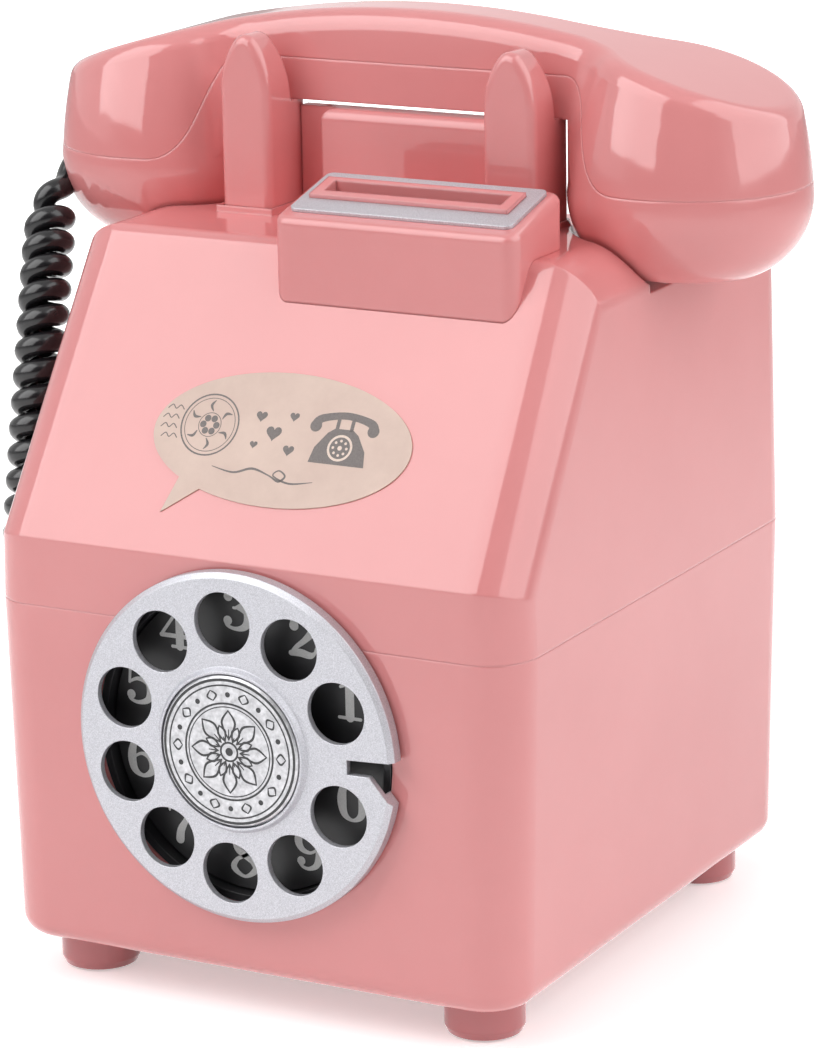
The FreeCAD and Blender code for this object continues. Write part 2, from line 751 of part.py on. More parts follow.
def prong_shape(x):
    """One prong: a blade with a rounded crown, a shoulder behind it and a tenon below."""
    deck = num("seam_height + deck_rise")
    half = num("prong_width / 2")
    front = num("prong_front")
    back = front + num("prong_depth")
    crown = deck + num("prong_rise")
    spring_line = crown - num("prong_crown")
    depth = num("prong_depth")

    def spot(across_share, rise_share):
        return Vector(x + half * across_share, front, spring_line + num("prong_crown") * rise_share)

    outline = [Part.LineSegment(Vector(x - half, front, deck), Vector(x + half, front, deck)).toShape(),
               Part.LineSegment(Vector(x + half, front, deck), spot(1, 0)).toShape(),
               Part.Arc(spot(1, 0), spot(0.82, 0.56), spot(0.42, 0.9)).toShape(),
               Part.Arc(spot(0.42, 0.9), spot(0, 1), spot(-0.42, 0.9)).toShape(),
               Part.Arc(spot(-0.42, 0.9), spot(-0.82, 0.56), spot(-1, 0)).toShape(),
               Part.LineSegment(spot(-1, 0), Vector(x - half, front, deck)).toShape()]
    blade = Part.Face(Part.Wire(outline)).extrude(Vector(0, depth, 0))
    blade = blade.makeFillet(num("prong_edge"), [
        edge for edge in blade.Edges
        if edge.BoundBox.YMax < front + 0.01 and edge.BoundBox.ZMax > deck + 0.1])
    shoulder = deck + num("handle_gap")
    blade_back = front + num("prong_blade")
    side_view = [(front - 1, deck - 1), (front - 1, crown + 1), (blade_back - num("blade_lean"), crown + 1),
                 (blade_back, shoulder), (back, shoulder), (back, deck - 1)]
    blade = blade.common(across(side_view, num("body_width")))
    half_tenon = num("tenon_size / 2")
    y = tenon_spot()
    tenon = block(x - half_tenon, x + half_tenon, y - half_tenon, y + half_tenon,
                  deck - num("wall - snug"), deck + 1)
    bore = upright(num("screw_radius + snug"), x, y, deck - num("wall") - 1, deck + num("screw_bite + slip"))
    return blade.fuse(tenon).cut(bore).removeSplitter()


def make_prongs():
    half = num("prong_spacing / 2")
    form("cradle_prongs", Part.makeCompound([prong_shape(-half), prong_shape(half)]))


def screw_template(name, shank, head, head_thickness, length, z, **where):
    """A pan-head screw that points up its own Z axis, with the face under its head at z."""
    body = new_body(name, **where)
    turned(body, name, [
        ("0", f"{z} - {head_thickness}"), (f"{head} * 0.8", f"{z} - {head_thickness}"),
        (head, f"{z} - {head_thickness} * 0.6"), (head, z), (shank, z),
        (shank, f"{z} + {length} - {shank}"), ("0", f"{z} + {length}")])
    return body


def make_prong_fixings():
    half = num("prong_spacing / 2")
    spots = [(-half, tenon_spot()), (half, tenon_spot())]
    under = "seam_height + deck_rise - wall"
    washer = new_body("washer_form")
    turned(washer, "washer", [
        ("screw_radius + snug", f"{under} - washer_thickness"), ("tenon_size", f"{under} - washer_thickness"),
        ("tenon_size", under), ("screw_radius + snug", under)])
    copies("prong_washers", washer, spots)
    screw = screw_template("prong_screw_form", "screw_radius", "screw_head", "screw_head_thickness",
                           "wall + washer_thickness + screw_bite", f"{under} - washer_thickness")
    copies("prong_screws", screw, spots)


def make_case_screws():
    screw = screw_template("case_screw_form", "screw_radius", "screw_head", "screw_head_thickness",
                           "post_seat + screw_bite", "seam_height - post_seat")
    copies("case_screws", screw, four_spots("post_x", "post_y"))


def make_feet():
    foot = new_body("foot_form")
    turned(foot, "foot", [
        ("0", "0"), ("foot_radius - foot_round", "0"), ("foot_radius - foot_round * 0.3", "foot_round * 0.3"),
        ("foot_radius", "foot_round"), ("foot_radius", "foot_height"), ("foot_spigot", "foot_height"),
        ("foot_spigot", "foot_height + wall"), ("0", "foot_height + wall")])
    copies("feet", foot, four_spots("foot_x", "foot_y"))


def make_coin_hatch():
    """A twist cap: a flange under the floor, a neck through it and two lugs above it."""
    body = new_body("coin_hatch", z="foot_height")
    flange = circle_sketch(body, "flange_ring", [("0", "0", "hatch_flange")], height="-hatch_flange_thickness")
    pad(body, "flange", flange, "hatch_flange_thickness")
    neck = circle_sketch(body, "neck_ring", [("0", "0", "hatch_radius")], height="-hatch_flange_thickness")
    pad(body, "neck", neck, "hatch_flange_thickness + wall + snug * 2 + hatch_lug_thickness")
    lugs = rectangle_sketch(body, "lug_plan", "-hatch_lug_reach", "hatch_lug_reach", "-hatch_lug_width / 2",
                            "hatch_lug_width / 2", height="wall + snug * 2")
    pad(body, "lugs", lugs, "hatch_lug_thickness")
    well = circle_sketch(body, "well_ring", [("0", "0", "hatch_radius - wall")],
                         height="wall + snug * 2 + hatch_lug_thickness")
    pocket(body, "well", well, "wall + hatch_lug_thickness")
    grip = rectangle_sketch(body, "grip_plan", "-hatch_radius + wall", "hatch_radius - wall", "-wall", "wall",
                            height="-hatch_flange_thickness - hatch_grip_depth")
    pad(body, "grip", grip, "hatch_grip_depth")
    finished(body)


# Pieces of the dial, each with its own Z axis pointing out of the front

def dial_body(name):
    return new_body(name, y=FRONT_FACE, z="seam_height - dial_drop", turn=OUTWARD)


def make_dial_seat():
    body = dial_body("dial_seat")
    plate = rectangle_sketch(body, "flange_plan", "-flange_half", "flange_half", "-flange_half", "flange_half",
                             height="-wall - flange_thickness")
    pad(body, "flange", plate, "flange_thickness")
    barrel = circle_sketch(body, "barrel_ring", [("0", "0", "dial_opening - slip")],
                           height="-seat_depth - seat_floor")
    pad(body, "barrel", barrel, "seat_depth + seat_floor")
    well = circle_sketch(body, "well_ring", [("0", "0", "dial_opening - slip - seat_wall")], height="0")
    pocket(body, "well", well, "seat_depth")
    pivot = circle_sketch(body, "pivot_ring", [("0", "0", "spindle_radius + snug * 2")], height="-seat_depth")
    pocket(body, "pivot_hole", pivot, "seat_floor + 1")
    spots = [(x, y, "small_screw + snug") for x in ("-flange_screw", "flange_screw")
             for y in ("-flange_screw", "flange_screw")]
    screws = circle_sketch(body, "screw_rings", spots, height="-wall - flange_thickness")
    pocket(body, "screw_holes", screws, "flange_thickness + 1")
    finished(body)


def make_dial_seat_screws():
    screw = new_body("seat_screw_form")
    turned(screw, "seat_screw", [
        ("0", "-small_screw"), ("small_screw_head * 0.8", "-small_screw"),
        ("small_screw_head", "-small_screw * 0.6"), ("small_screw_head", "0"), ("small_screw", "0"),
        ("small_screw", "flange_thickness + wall * 0.7"), ("0", "flange_thickness + wall * 0.75")])
    doc.recompute()
    back = num(FRONT_FACE) + num("wall + flange_thickness + dial_reach / 2")
    shapes = []
    for x, z in seat_screw_spots():
        piece = screw.Shape.copy()
        piece.Placement = Placement(Vector(x, back, z), OUTWARD)
        shapes.append(piece)
    group = doc.addObject("Part::Feature", "dial_seat_screws")
    group.Label = "dial_seat_screws"
    group.Shape = Part.makeCompound(shapes)
    finished(group)


def make_number_disc():
    body = dial_body("number_disc")
    rim = "dial_opening - slip - seat_wall - slip"
    turned(body, "disc", [("spindle_radius + snug * 2", "-seat_depth"), (rim, "-seat_depth"),
                          (rim, "disc_thickness - seat_depth"),
                          ("spindle_radius + snug * 2", "disc_thickness - seat_depth")])
    finished(body)


def make_finger_wheel():
    body = dial_body("finger_wheel")
    bore = "spindle_radius + snug"
    hub_back = "disc_thickness + friction_thickness - seat_depth"
    badge_seat = "dial_reach - badge_thickness"
    head_seat = f"{badge_seat} - snug * 4 - head_thickness"
    turned(body, "wheel", [
        (bore, hub_back), ("collar_radius", hub_back), ("collar_radius", "wheel_back"),
        ("hub_radius + hub_margin", "wheel_back"), ("hub_radius + hub_margin", "wheel_front - wheel_plate"),
        ("wheel_radius - wheel_rim", "wheel_front - wheel_plate"),
        ("wheel_radius - wheel_rim", "wheel_back"),
        ("wheel_radius", "wheel_back"), ("wheel_radius", "wheel_front - wheel_bevel"),
        ("wheel_radius - wheel_bevel", "wheel_front"), ("hub_radius", "wheel_front"),
        ("hub_radius - hub_bevel", "wheel_front + hub_rise"),
        ("badge_radius + slip", "wheel_front + hub_rise"),
        ("badge_radius + slip", badge_seat), ("head_radius + slip", badge_seat),
        ("head_radius + slip", head_seat), (bore, head_seat)])
    hole = circle_sketch(body, "finger_ring", [
        ("finger_circle * cos(finger_first * 1deg)", "finger_circle * sin(finger_first * 1deg)", "finger_hole")],
        height="wheel_front")
    first = pocket(body, "finger_cut", hole, "wheel_front")
    doc.recompute()
    pattern = body.newObject("PartDesign::PolarPattern", "finger_cuts")
    pattern.Originals = [first]
    pattern.Axis = (hole, ["N_Axis"])
    pattern.setExpression("Angle", formula("finger_step * (finger_count - 1)"))
    pattern.setExpression("Occurrences", formula("finger_count"))
    body.Tip = pattern
    doc.recompute()
    notch = polygon_sketch(body, "notch_plan", [
        ("notch_inner", "notch_half"), ("wheel_radius * 1.05", "notch_half * 1.4"),
        ("wheel_radius * 1.05", "-notch_half * 6"), ("wheel_radius * 0.98", "-notch_half * 4.5"),
        ("notch_inner + notch_half * 3.2", "-notch_half * 0.9"), ("notch_inner", "-notch_half")],
        height="wheel_front")
    pocket(body, "notch_cut", notch, "wheel_front")
    finished(body)


def make_wheel_badge():
    body = dial_body("wheel_badge")
    badge_seat = "dial_reach - badge_thickness"
    turned(body, "badge", [("0", badge_seat), ("badge_radius", badge_seat),
                           ("badge_radius", "dial_reach - badge_edge"),
                           ("badge_radius - badge_edge", "dial_reach"),
                           ("0", "dial_reach")])
    finished(body)


def make_dial_spindle():
    body = dial_body("dial_spindle")
    head_seat = "dial_reach - badge_thickness - snug * 4 - head_thickness"
    tail = "-seat_depth - seat_floor - washer_thickness - nut_thickness - spindle_tail"
    turned(body, "spindle", [
        ("0", tail), ("spindle_radius - spindle_chamfer", tail),
        ("spindle_radius", f"{tail} + spindle_chamfer"), ("spindle_radius", head_seat),
        ("head_radius", head_seat), ("head_radius", f"{head_seat} + head_thickness"),
        ("0", f"{head_seat} + head_thickness")])
    finished(body)


def make_dial_washers():
    friction = dial_body("friction_washer")
    low = "disc_thickness - seat_depth"
    turned(friction, "ring", [
        ("spindle_radius + slip", low), ("collar_radius", low),
        ("collar_radius", f"{low} + friction_thickness"),
        ("spindle_radius + slip", f"{low} + friction_thickness")])
    finished(friction)
    washer = dial_body("spindle_washer")
    seat = "-seat_depth - seat_floor"
    turned(washer, "ring", [
        ("spindle_radius + snug * 2", f"{seat} - washer_thickness"),
        ("washer_radius", f"{seat} - washer_thickness"),
        ("washer_radius", seat), ("spindle_radius + snug * 2", seat)])
    finished(washer)


def make_spindle_nut():
    body = dial_body("spindle_nut")
    low = "-seat_depth - seat_floor - washer_thickness - nut_thickness"
    corner = "nut_flats / sqrt(3)"
    outline = [(f"{corner} * cos({60 * turn} * 1deg)", f"{corner} * sin({60 * turn} * 1deg)")
               for turn in range(6)]
    plan = polygon_sketch(body, "hexagon", outline, height=low)
    pad(body, "nut", plan, "nut_thickness")
    ring = circle_sketch(body, "thread_ring", [("0", "0", "spindle_radius + snug")], height=low)
    pocket(body, "thread_bore", ring, "nut_thickness + 1")
    finished(body)


# Handset

def bowl_form(x, inset):
    """The round lower part of one end of the handset, closed, drawn in by inset."""
    seam = bowl_seam()
    low = seam - num("cup_seam_rise") + inset
    radius = num("cup_radius") - inset
    flat = num("cup_flat") - 0.5 * inset
    bulge = Vector(flat + (radius - flat) * num("bulge_out"), 0, low + (seam - low) * num("bulge_rise"))
    outline = [Part.LineSegment(Vector(0, 0, low), Vector(flat, 0, low)).toShape(),
               Part.Arc(Vector(flat, 0, low), bulge, Vector(radius, 0, seam)).toShape(),
               Part.LineSegment(Vector(radius, 0, seam), Vector(0, 0, seam)).toShape(),
               Part.LineSegment(Vector(0, 0, seam), Vector(0, 0, low)).toShape()]
    solid = Part.Face(Part.Wire(outline)).revolve(Vector(0, 0, 0), Vector(0, 0, 1), 360)
    solid.translate(Vector(x, num("handset_y"), 0))
    return solid


def bowl_seam():
    """Height at which the bowls are widest and the handset's halves meet."""
    return num("seam_height + deck_rise - bay_depth + cup_clearance + cup_seam_rise")


def handle_under():
    """Height of the handle's underside."""
    return num("seam_height + deck_rise + handle_gap")


def handle_parting():
    """Height at which the handset's halves meet along the handle."""
    return handle_under() + num("parting_rise")


def handset_plan(inset, lean, z):
    """Outline from above, drawn in by inset and lean: two round ends and hollow necks to the handle."""
    half = num("cup_spacing / 2")
    radius = num("cup_radius") - inset - lean
    deep = num("handle_depth / 2") - inset - lean / 3
    corners = {}
    edges = []
    for front, neck in ((-1, num("neck_front") + inset), (1, num("neck_back") + inset)):
        away = math.sqrt((radius + neck) ** 2 - (deep + neck) ** 2)
        touch = radius / (radius + neck)
        turn = math.atan2(away, deep + neck) / 2
        corners[front] = (half - away, deep, half - away * touch, (deep + neck) * touch,
                          half - away + neck * math.sin(turn), deep + neck * (1 - math.cos(turn)))
    y = num("handset_y")

    def spot(side, x, front, offset):
        return Vector(side * x, y + front * offset, z)

    def neck_arc(side, front):
        bend, deep, rim, out, middle, bulge = corners[front]
        ends = [spot(side, bend, front, deep), spot(side, rim, front, out)]
        if side * front > 0:
            ends.reverse()
        return Part.Arc(ends[0], spot(side, middle, front, bulge), ends[1])

    for side in (1, -1):
        rims = [spot(side, corners[front][2], front, corners[front][3]) for front in (-side, side)]
        edges += [Part.LineSegment(spot(-side, corners[-side][0], -side, deep),
                                   spot(side, corners[-side][0], -side, deep)),
                  neck_arc(side, -side),
                  Part.Arc(rims[0], spot(side, half + radius, 1, 0), rims[1]),
                  neck_arc(side, side)]
    return Part.Wire([edge.toShape() for edge in edges])


def handset_cap(inset):
    """The handset above the widest part of its bowls, closed, drawn in by inset."""
    seam = bowl_seam()
    under = handle_under() + inset
    top = num("seam_height + deck_rise + handle_gap + handle_rise") - inset
    half = num("cup_spacing / 2")
    reach = half + 1.5 * num("cup_radius")
    arch = num("handle_arch") * (reach / half) ** 2
    outline = [Part.Arc(Vector(-reach, -reach, top - arch), Vector(0, -reach, top),
                        Vector(reach, -reach, top - arch)).toShape(),
               Part.makePolygon([Vector(reach, -reach, top - arch), Vector(reach, -reach, seam),
                                 Vector(-reach, -reach, seam), Vector(-reach, -reach, top - arch)])]
    edges = [edge for shape in outline for edge in shape.Edges]
    hill = Part.Face(Part.Wire(edges)).extrude(Vector(0, 2 * reach, 0))
    bend = seam + num("bend_share") * (top - seam)
    walls = Part.makeLoft([handset_plan(inset, 0, seam),
                           handset_plan(inset, num("bend_lean"), bend),
                           handset_plan(inset, num("cup_lean"), top + 1)], True, False)
    solid = walls.common(hill)
    solid = solid.makeFillet(num("handset_round") - inset, [
        edge for edge in solid.Edges
        if edge.BoundBox.ZMin > seam + 1 and edge.BoundBox.XLength > num("neck_front") / 2])
    inner = half - num("cup_radius") + inset
    arm = block(-inner - num("neck_back"), inner + num("neck_back"), -reach, reach, seam - 1, under)
    ends = [upright(num("cup_radius") - inset, side * half, num("handset_y"), seam - 1, under)
            for side in (-1, 1)]
    return solid.cut(arm.cut(ends))


def handset_form(inset):
    half = num("cup_spacing / 2")
    return handset_cap(inset).fuse([bowl_form(-half, inset), bowl_form(half, inset)]).removeSplitter()


def below_parting():
    """Everything under the joint of the handset's halves, which dips in an S along each bowl's inner side."""
    half = num("cup_spacing / 2")
    seam = bowl_seam()
    parting = handle_parting()
    reach = num("body_width")
    deep = num("body_depth")
    floor = num("seam_height")
    inner = half - num("cup_radius * dip_start")
    outer = half - num("cup_radius * dip_end")

    def dip(side):
        poles = [Vector(side * x, -deep, z) for x, z in (
            (inner, parting), (inner + (outer - inner) * 0.5, parting),
            (inner + (outer - inner) * 0.25, seam), (outer, seam))]
        curve = Part.BezierCurve()
        curve.setPoles(poles)
        return curve.toShape()

    def line(*spots):
        return [Part.makeLine(Vector(*spots[0]), Vector(*spots[1]))]

    edges = [dip(1), dip(-1)]
    edges += line((-inner, -deep, parting), (inner, -deep, parting))
    for side in (-1, 1):
        edges += line((side * outer, -deep, seam), (side * reach, -deep, seam))
        edges += line((side * reach, -deep, seam), (side * reach, -deep, floor))
    edges += line((-reach, -deep, floor), (reach, -deep, floor))
    return Part.Face(Part.Wire(Part.__sortEdges__(edges))).extrude(Vector(0, 2 * deep, 0))


def sleeve_form(radius, outward):
    """A plug on the cord's line where it leaves the handset: inward by its length, outward as given."""
    points = cord_route()
    direction = (points[1] - points[0]).normalize()
    length = num("sleeve_length")
    return Part.makeCylinder(radius, length + outward, points[0] - direction * length, direction)


def make_handset():
    outer = handset_form(0)
    inner = handset_form(num("handset_wall"))
    low = below_parting()
    y = num("handset_y")
    parting = handle_parting()
    under = handle_under()
    top = under + num("handle_rise")
    xs = (-num("handset_screw_x"), num("handset_screw_x"))
    radius = num("boss_radius")
    head_room = num("screw_head_thickness + slip")
    sleeve_bore = sleeve_form(num("sleeve_radius + snug"), num("sleeve_bore"))
    lower = outer.common(low).cut(inner).fuse([upright(radius, x, y, under + 1, parting) for x in xs])
    lower = lower.cut([upright(num("screw_radius + snug"), x, y, under - 1, parting + 1) for x in xs]
                      + [upright(num("screw_head + slip"), x, y, under - 1, under + head_room) for x in xs]
                      + [sleeve_bore])
    form("handset_lower", lower.removeSplitter())
    posts = [upright(radius, x, y, parting, top).common(outer) for x in xs]
    upper = outer.cut(low).cut(inner).fuse(posts)
    bite = num("handset_screw_reach + slip")
    upper = upper.cut([upright(num("screw_radius + snug"), x, y, parting - 1, parting + bite) for x in xs]
                      + [sleeve_bore])
    form("handset_upper", upper.removeSplitter())
    screw = screw_template("handset_screw_form", "screw_radius", "screw_head", "screw_head_thickness",
                           "parting_rise - screw_head_thickness - slip + handset_screw_reach",
                           "seam_height + deck_rise + handle_gap + screw_head_thickness + slip")
    copies("handset_screws", screw, [(x, y) for x in xs])
    form("handset_cord_relief", sleeve_form(num("sleeve_radius"), 0))


# Cord

def cord_route():
    """The curly cord's middle line from the handset to the casing's left side, chosen by eye.

    Each bend is given by its distance outside the casing's side, and by the shares of the way
    forward and of the height that are left from the casing's bush to the handset."""
    bends = [(19.6, 0.74, 0.917), (17.0, 0.59, 0.85), (14.4, 0.45, 0.768), (12.2, 0.33, 0.678),
             (11.2, 0.24, 0.57), (10.3, 0.15, 0.455), (10.0, 0.09, 0.34), (10.3, 0.045, 0.23),
             (10.5, 0.012, 0.125), (10.5, 0.0, 0.0)]
    wall_x, wall_y, wall_z = bush_face()
    side = num("body_width / 2")
    back = num("cord_start_y - cord_exit_y")
    rise = bowl_seam() - num("cord_start_drop") - wall_z
    points = [Vector(-side - out, wall_y + back * share, wall_z + rise * high) for out, share, high in bends]
    start = Vector(-side - num("cord_start_out"), wall_y + back, wall_z + rise)
    return [start, *points, Vector(wall_x, wall_y, wall_z)]


def side_at(z):
    """How far the lower housing's side stands from the middle at height z."""
    return num("body_width / 2") - num("side_taper / (seam_height - foot_height)") * (num("seam_height") - z)


def bush_face():
    """Middle of the outer face of the bush on the casing's left side."""
    z = num("seam_height - cord_exit_drop")
    return -side_at(z) - num("bush_flange_thickness"), num("cord_exit_y"), z


def make_body_cord_relief():
    body = new_body("body_cord_relief", x="-body_width / 2", y="cord_exit_y", z="seam_height - cord_exit_drop",
                    turn=Rotation(Vector(0, 1, 0), -90))
    lean = "side_taper / (seam_height - foot_height) * cord_exit_drop"
    body.setExpression("Placement.Base.x", formula(f"-body_width / 2 + {lean}"))
    turned(body, "bush", [
        ("0", "-wall - bush_flange_thickness"), ("bush_radius + wall / 3", "-wall - bush_flange_thickness"),
        ("bush_radius + wall / 3", "-wall - snug * 4"), ("bush_radius", "-wall - snug * 4"),
        ("bush_radius", "snug * 3"), ("bush_flange", "snug * 3"),
        ("bush_flange", "bush_flange_thickness * 0.5"), ("bush_radius + wall / 4", "bush_flange_thickness"),
        ("0", "bush_flange_thickness")])
    finished(body)


def clamped_spline(points):
    """A smooth quadratic curve that starts and ends on its outer control points."""
    curve = Part.BSplineCurve()
    inner = len(points) - 3
    curve.buildFromPolesMultsKnots(points, [3] + [1] * inner + [3], list(range(inner + 2)), False, 2)
    return curve


def curl_line(curve):
    """A function that gives the point of the wire at a distance along the curve: curls, then a tail."""
    length = curve.length()
    curled = length - num("cord_tail")
    turns = round(curled / num("curl_pitch"))
    radius = num("curl_radius")
    ramp = num("easing_curls") * curled / turns
    rate = 2 * math.pi * turns / (curled - ramp)

    def eased(distance):
        """Distance that counts towards the turning, which starts and ends slowly."""
        if distance < ramp:
            return distance * distance / (2 * ramp)
        if distance > curled - ramp:
            return curled - ramp - max(0.0, curled - distance) ** 2 / (2 * ramp)
        return distance - ramp / 2

    def point(distance):
        along = curve.parameterAtDistance(distance, curve.FirstParameter)
        centre = curve.value(along)
        ahead = Vector(*curve.tangent(along)[0]).normalize()
        side = Vector(0, 1, 0) - ahead * ahead.y
        side.normalize()
        up = ahead.cross(side)
        share = max(0.0, min(1.0, distance / ramp, (curled - distance) / ramp))
        size = radius * share * share * (3 - 2 * share)
        phase = rate * eased(distance)
        return centre + side * (size * math.cos(phase)) + up * (size * math.sin(phase))

    return point, length, turns


def biarc(start, start_way, end, end_way):
    """Two arcs that meet smoothly and join two points with the given directions."""
    chord = end - start
    ways = start_way + end_way
    a = 2 * (1 - start_way.dot(end_way))
    b = 2 * chord.dot(ways)
    c = chord.dot(chord)
    reach = (-b + math.sqrt(b * b + 4 * a * c)) / (2 * a) if a > 1e-9 else c / b
    first = start + start_way * reach
    second = end - end_way * reach
    joint = (first + second) * 0.5
    return [arc_towards(start, start_way, joint), arc_towards(end, -end_way, joint, True)]


def arc_towards(start, way, end, reverse=False):
    """The arc that leaves start in the given direction and ends at end."""
    chord = end - start
    normal = chord - way * chord.dot(way)
    if normal.Length < 1e-6:
        return Part.LineSegment(end, start) if reverse else Part.LineSegment(start, end)
    normal.normalize()
    radius = chord.dot(chord) / (2 * chord.dot(normal))
    centre = start + normal * radius
    bisector = (start - centre) + (end - centre)
    middle = centre + bisector.normalize() * radius
    return Part.Arc(end, middle, start) if reverse else Part.Arc(start, middle, end)


def make_curly_cord():
    route = cord_route()
    wire_radius = num("wire_diameter / 2")
    lead = num("wire_diameter")
    first_way = (route[1] - route[0]).normalize()
    last_way = (route[-1] - route[-2]).normalize()
    start = route[0] + first_way * lead
    end = route[-1] - last_way * lead
    curve = clamped_spline([start] + route[1:-1] + [end])
    point, length, turns = curl_line(curve)
    steps = 4 * round(turns * length / (length - num("cord_tail")))
    distances = [length * index / steps for index in range(steps + 1)]
    nudge = length / steps / 50
    spots = [point(distance) for distance in distances]
    ways = [(point(min(length, distance + nudge)) - point(max(0, distance - nudge))).normalize()
            for distance in distances]
    ways[0] = first_way
    ways[-1] = last_way
    pieces = [Part.LineSegment(route[0], start)]
    for index in range(steps):
        pieces += biarc(spots[index], ways[index], spots[index + 1], ways[index + 1])
    pieces.append(Part.LineSegment(end, route[-1]))
    path = Part.Wire([piece.toShape() for piece in pieces])
    section = Part.Wire(Part.makeCircle(wire_radius, route[0], first_way))
    pipe = Part.BRepOffsetAPI.MakePipeShell(path)
    pipe.add(section)
    pipe.build()
    pipe.makeSolid()
    cord = pipe.shape()
    print_cord_facts(path, cord, turns, wire_radius)
    form("curly_cord", cord)


def print_cord_facts(path, cord, turns, wire_radius):
    radii = [edge.Curve.Radius for edge in path.Edges if hasattr(edge.Curve, "Radius")]
    along = path.discretize(Distance=0.5)
    apart = int(2.5 * num("wire_diameter") / 0.5)
    gaps = [along[a].distanceToPoint(along[b]) for a in range(0, len(along), 2)
            for b in range(a + apart, len(along), 2)]
    least_gap = min(gaps) - 2 * wire_radius
    expected = math.pi * wire_radius ** 2 * path.Length
    print(f"cord: length {path.Length:.1f}, curls {turns}, least radius {min(radii):.2f}, "
          f"least gap {least_gap:.2f}, volume {cord.Volume:.0f} of {expected:.0f}")


# Label

def make_slope_label():
    """A speech-bubble label, flat on the slope."""
    wide = num("label_half_width")
    tall = num("label_half_height")
    centre = Vector(num("label_x"), num("label_rise"), 0)
    ellipse = Part.Ellipse(centre, wide, tall)
    bubble = Part.Face(Part.Wire([ellipse.toShape()]))
    tail = polygon_face([centre + Vector(-0.776 * wide, -1.25 * tall, 0),
                         centre + Vector(-0.466 * wide, -0.75 * tall, 0),
                         centre + Vector(-0.69 * wide, -0.6 * tall, 0)])
    thick = Vector(0, 0, num("label_thickness"))
    label = bubble.extrude(thick).fuse(tail.extrude(thick)).removeSplitter()
    label.Placement = Placement(Vector(0, num(FRONT_FACE), num("seam_height + band_height")),
                                Rotation(Vector(1, 0, 0), num("slope_angle")))
    form("slope_label", label)


def check_and_write():
    doc.recompute()
    for item in doc.Objects:
        if "Invalid" in item.State or "Error" in item.State:
            raise RuntimeError(f"{item.Label} did not build: {item.State}")
    os.makedirs("parts", exist_ok=True)
    for item in PARTS:
        if item.Shape.isNull() or not item.Shape.isValid():
            raise RuntimeError(f"{item.Label} has no valid shape")
    for item in PARTS:
        item.Shape.exportStep(os.path.join("parts", f"{item.Label}.step"))


make_lower_shell()
make_upper_shell()
make_slot_block()
make_crossbar()
make_slot_trim()
make_prongs()
make_prong_fixings()
make_case_screws()
make_feet()
make_coin_hatch()
make_dial_seat()
make_dial_seat_screws()
make_number_disc()
make_finger_wheel()
make_wheel_badge()
make_dial_spindle()
make_dial_washers()
make_spindle_nut()
make_handset()
make_body_cord_relief()
make_curly_cord()
make_slope_label()
check_and_write()
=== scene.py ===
import json
import math

import bmesh
import bpy
from mathutils import Matrix, Vector


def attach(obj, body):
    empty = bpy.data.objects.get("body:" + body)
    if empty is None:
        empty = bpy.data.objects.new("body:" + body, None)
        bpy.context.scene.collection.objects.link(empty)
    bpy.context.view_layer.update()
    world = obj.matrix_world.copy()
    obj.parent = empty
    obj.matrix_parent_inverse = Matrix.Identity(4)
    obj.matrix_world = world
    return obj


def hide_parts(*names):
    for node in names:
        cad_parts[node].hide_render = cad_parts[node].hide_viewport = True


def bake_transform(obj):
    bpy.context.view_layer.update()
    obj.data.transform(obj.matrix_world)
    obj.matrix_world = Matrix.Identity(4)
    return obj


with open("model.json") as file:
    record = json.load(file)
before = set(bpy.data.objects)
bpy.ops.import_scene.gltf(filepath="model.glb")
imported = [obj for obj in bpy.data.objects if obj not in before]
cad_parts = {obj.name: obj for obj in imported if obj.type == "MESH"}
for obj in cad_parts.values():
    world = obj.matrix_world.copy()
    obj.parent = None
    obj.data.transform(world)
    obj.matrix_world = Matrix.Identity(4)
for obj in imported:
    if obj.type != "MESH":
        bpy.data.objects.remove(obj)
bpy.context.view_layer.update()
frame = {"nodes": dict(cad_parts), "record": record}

MM = 0.001

# Driving sizes, in metres, as the construction has them
BODY_WIDTH = 0.120
BODY_DEPTH = 0.1316
SEAM_HEIGHT = 0.0805
SHIFT_Y = 0.00275
FRONT_Y = -BODY_DEPTH / 2 + SHIFT_Y
CREASE_HEIGHT = SEAM_HEIGHT + 0.0142
SLOPE_LEAN = math.radians(57.0)
DIAL_CENTRE = Vector((0.0, FRONT_Y, 0.05785))
WIRE_DIAMETER = 0.0048
CURL_RADIUS = 0.0032
CURL_PITCH = 0.0066
CORD_TAIL = 0.013
EASING_CURLS = 3.0
SPLINE_STEPS = 48
ROUTE_STEP = 0.00035
RING_STEP = 0.0006
WIRE_SIDES = 20

# Finger holes, in millimetres about the dial's centre and degrees from the right
FINGER_CIRCLE = 25.8
FINGER_FIRST = 24.3
FINGER_STEP = 34.67
# Numerals, in millimetres: height, width, line width for 1 in the table, and their middle's shift
# from the middle of the finger hole, across and up
NUMERAL_TALL = 8.4
NUMERAL_WIDE = 10.8
NUMERAL_STROKE = 11.5
NUMERAL_SHIFT = (-0.75, 0.95)
# Heights of the marks, in millimetres before the casing's front and over the slope
NUMERAL_HEIGHT = -2.77
ENGRAVING_HEIGHT = 5.52
LABEL_PRINT_HEIGHT = 0.32
PALE_PRINT_HEIGHT = 0.33
# Each mark lies this much over the one before, in metres, and after a cycle it starts again
LAYER_STEP = 0.0000004
LAYER_CYCLE = 8

# Camera, in metres and degrees, with its focal length in pixels of the image
CAMERA_PLACE = Vector((0.420757, -0.766091 + SHIFT_Y, 0.241480 + SEAM_HEIGHT))
CAMERA_HEADING = 28.637
CAMERA_ELEVATION = 15.067
CAMERA_ROLL = -1.032
FOCAL_PIXELS = 4340.93
IMAGE_HEIGHT = 1048
SENSOR_HEIGHT = 36.0

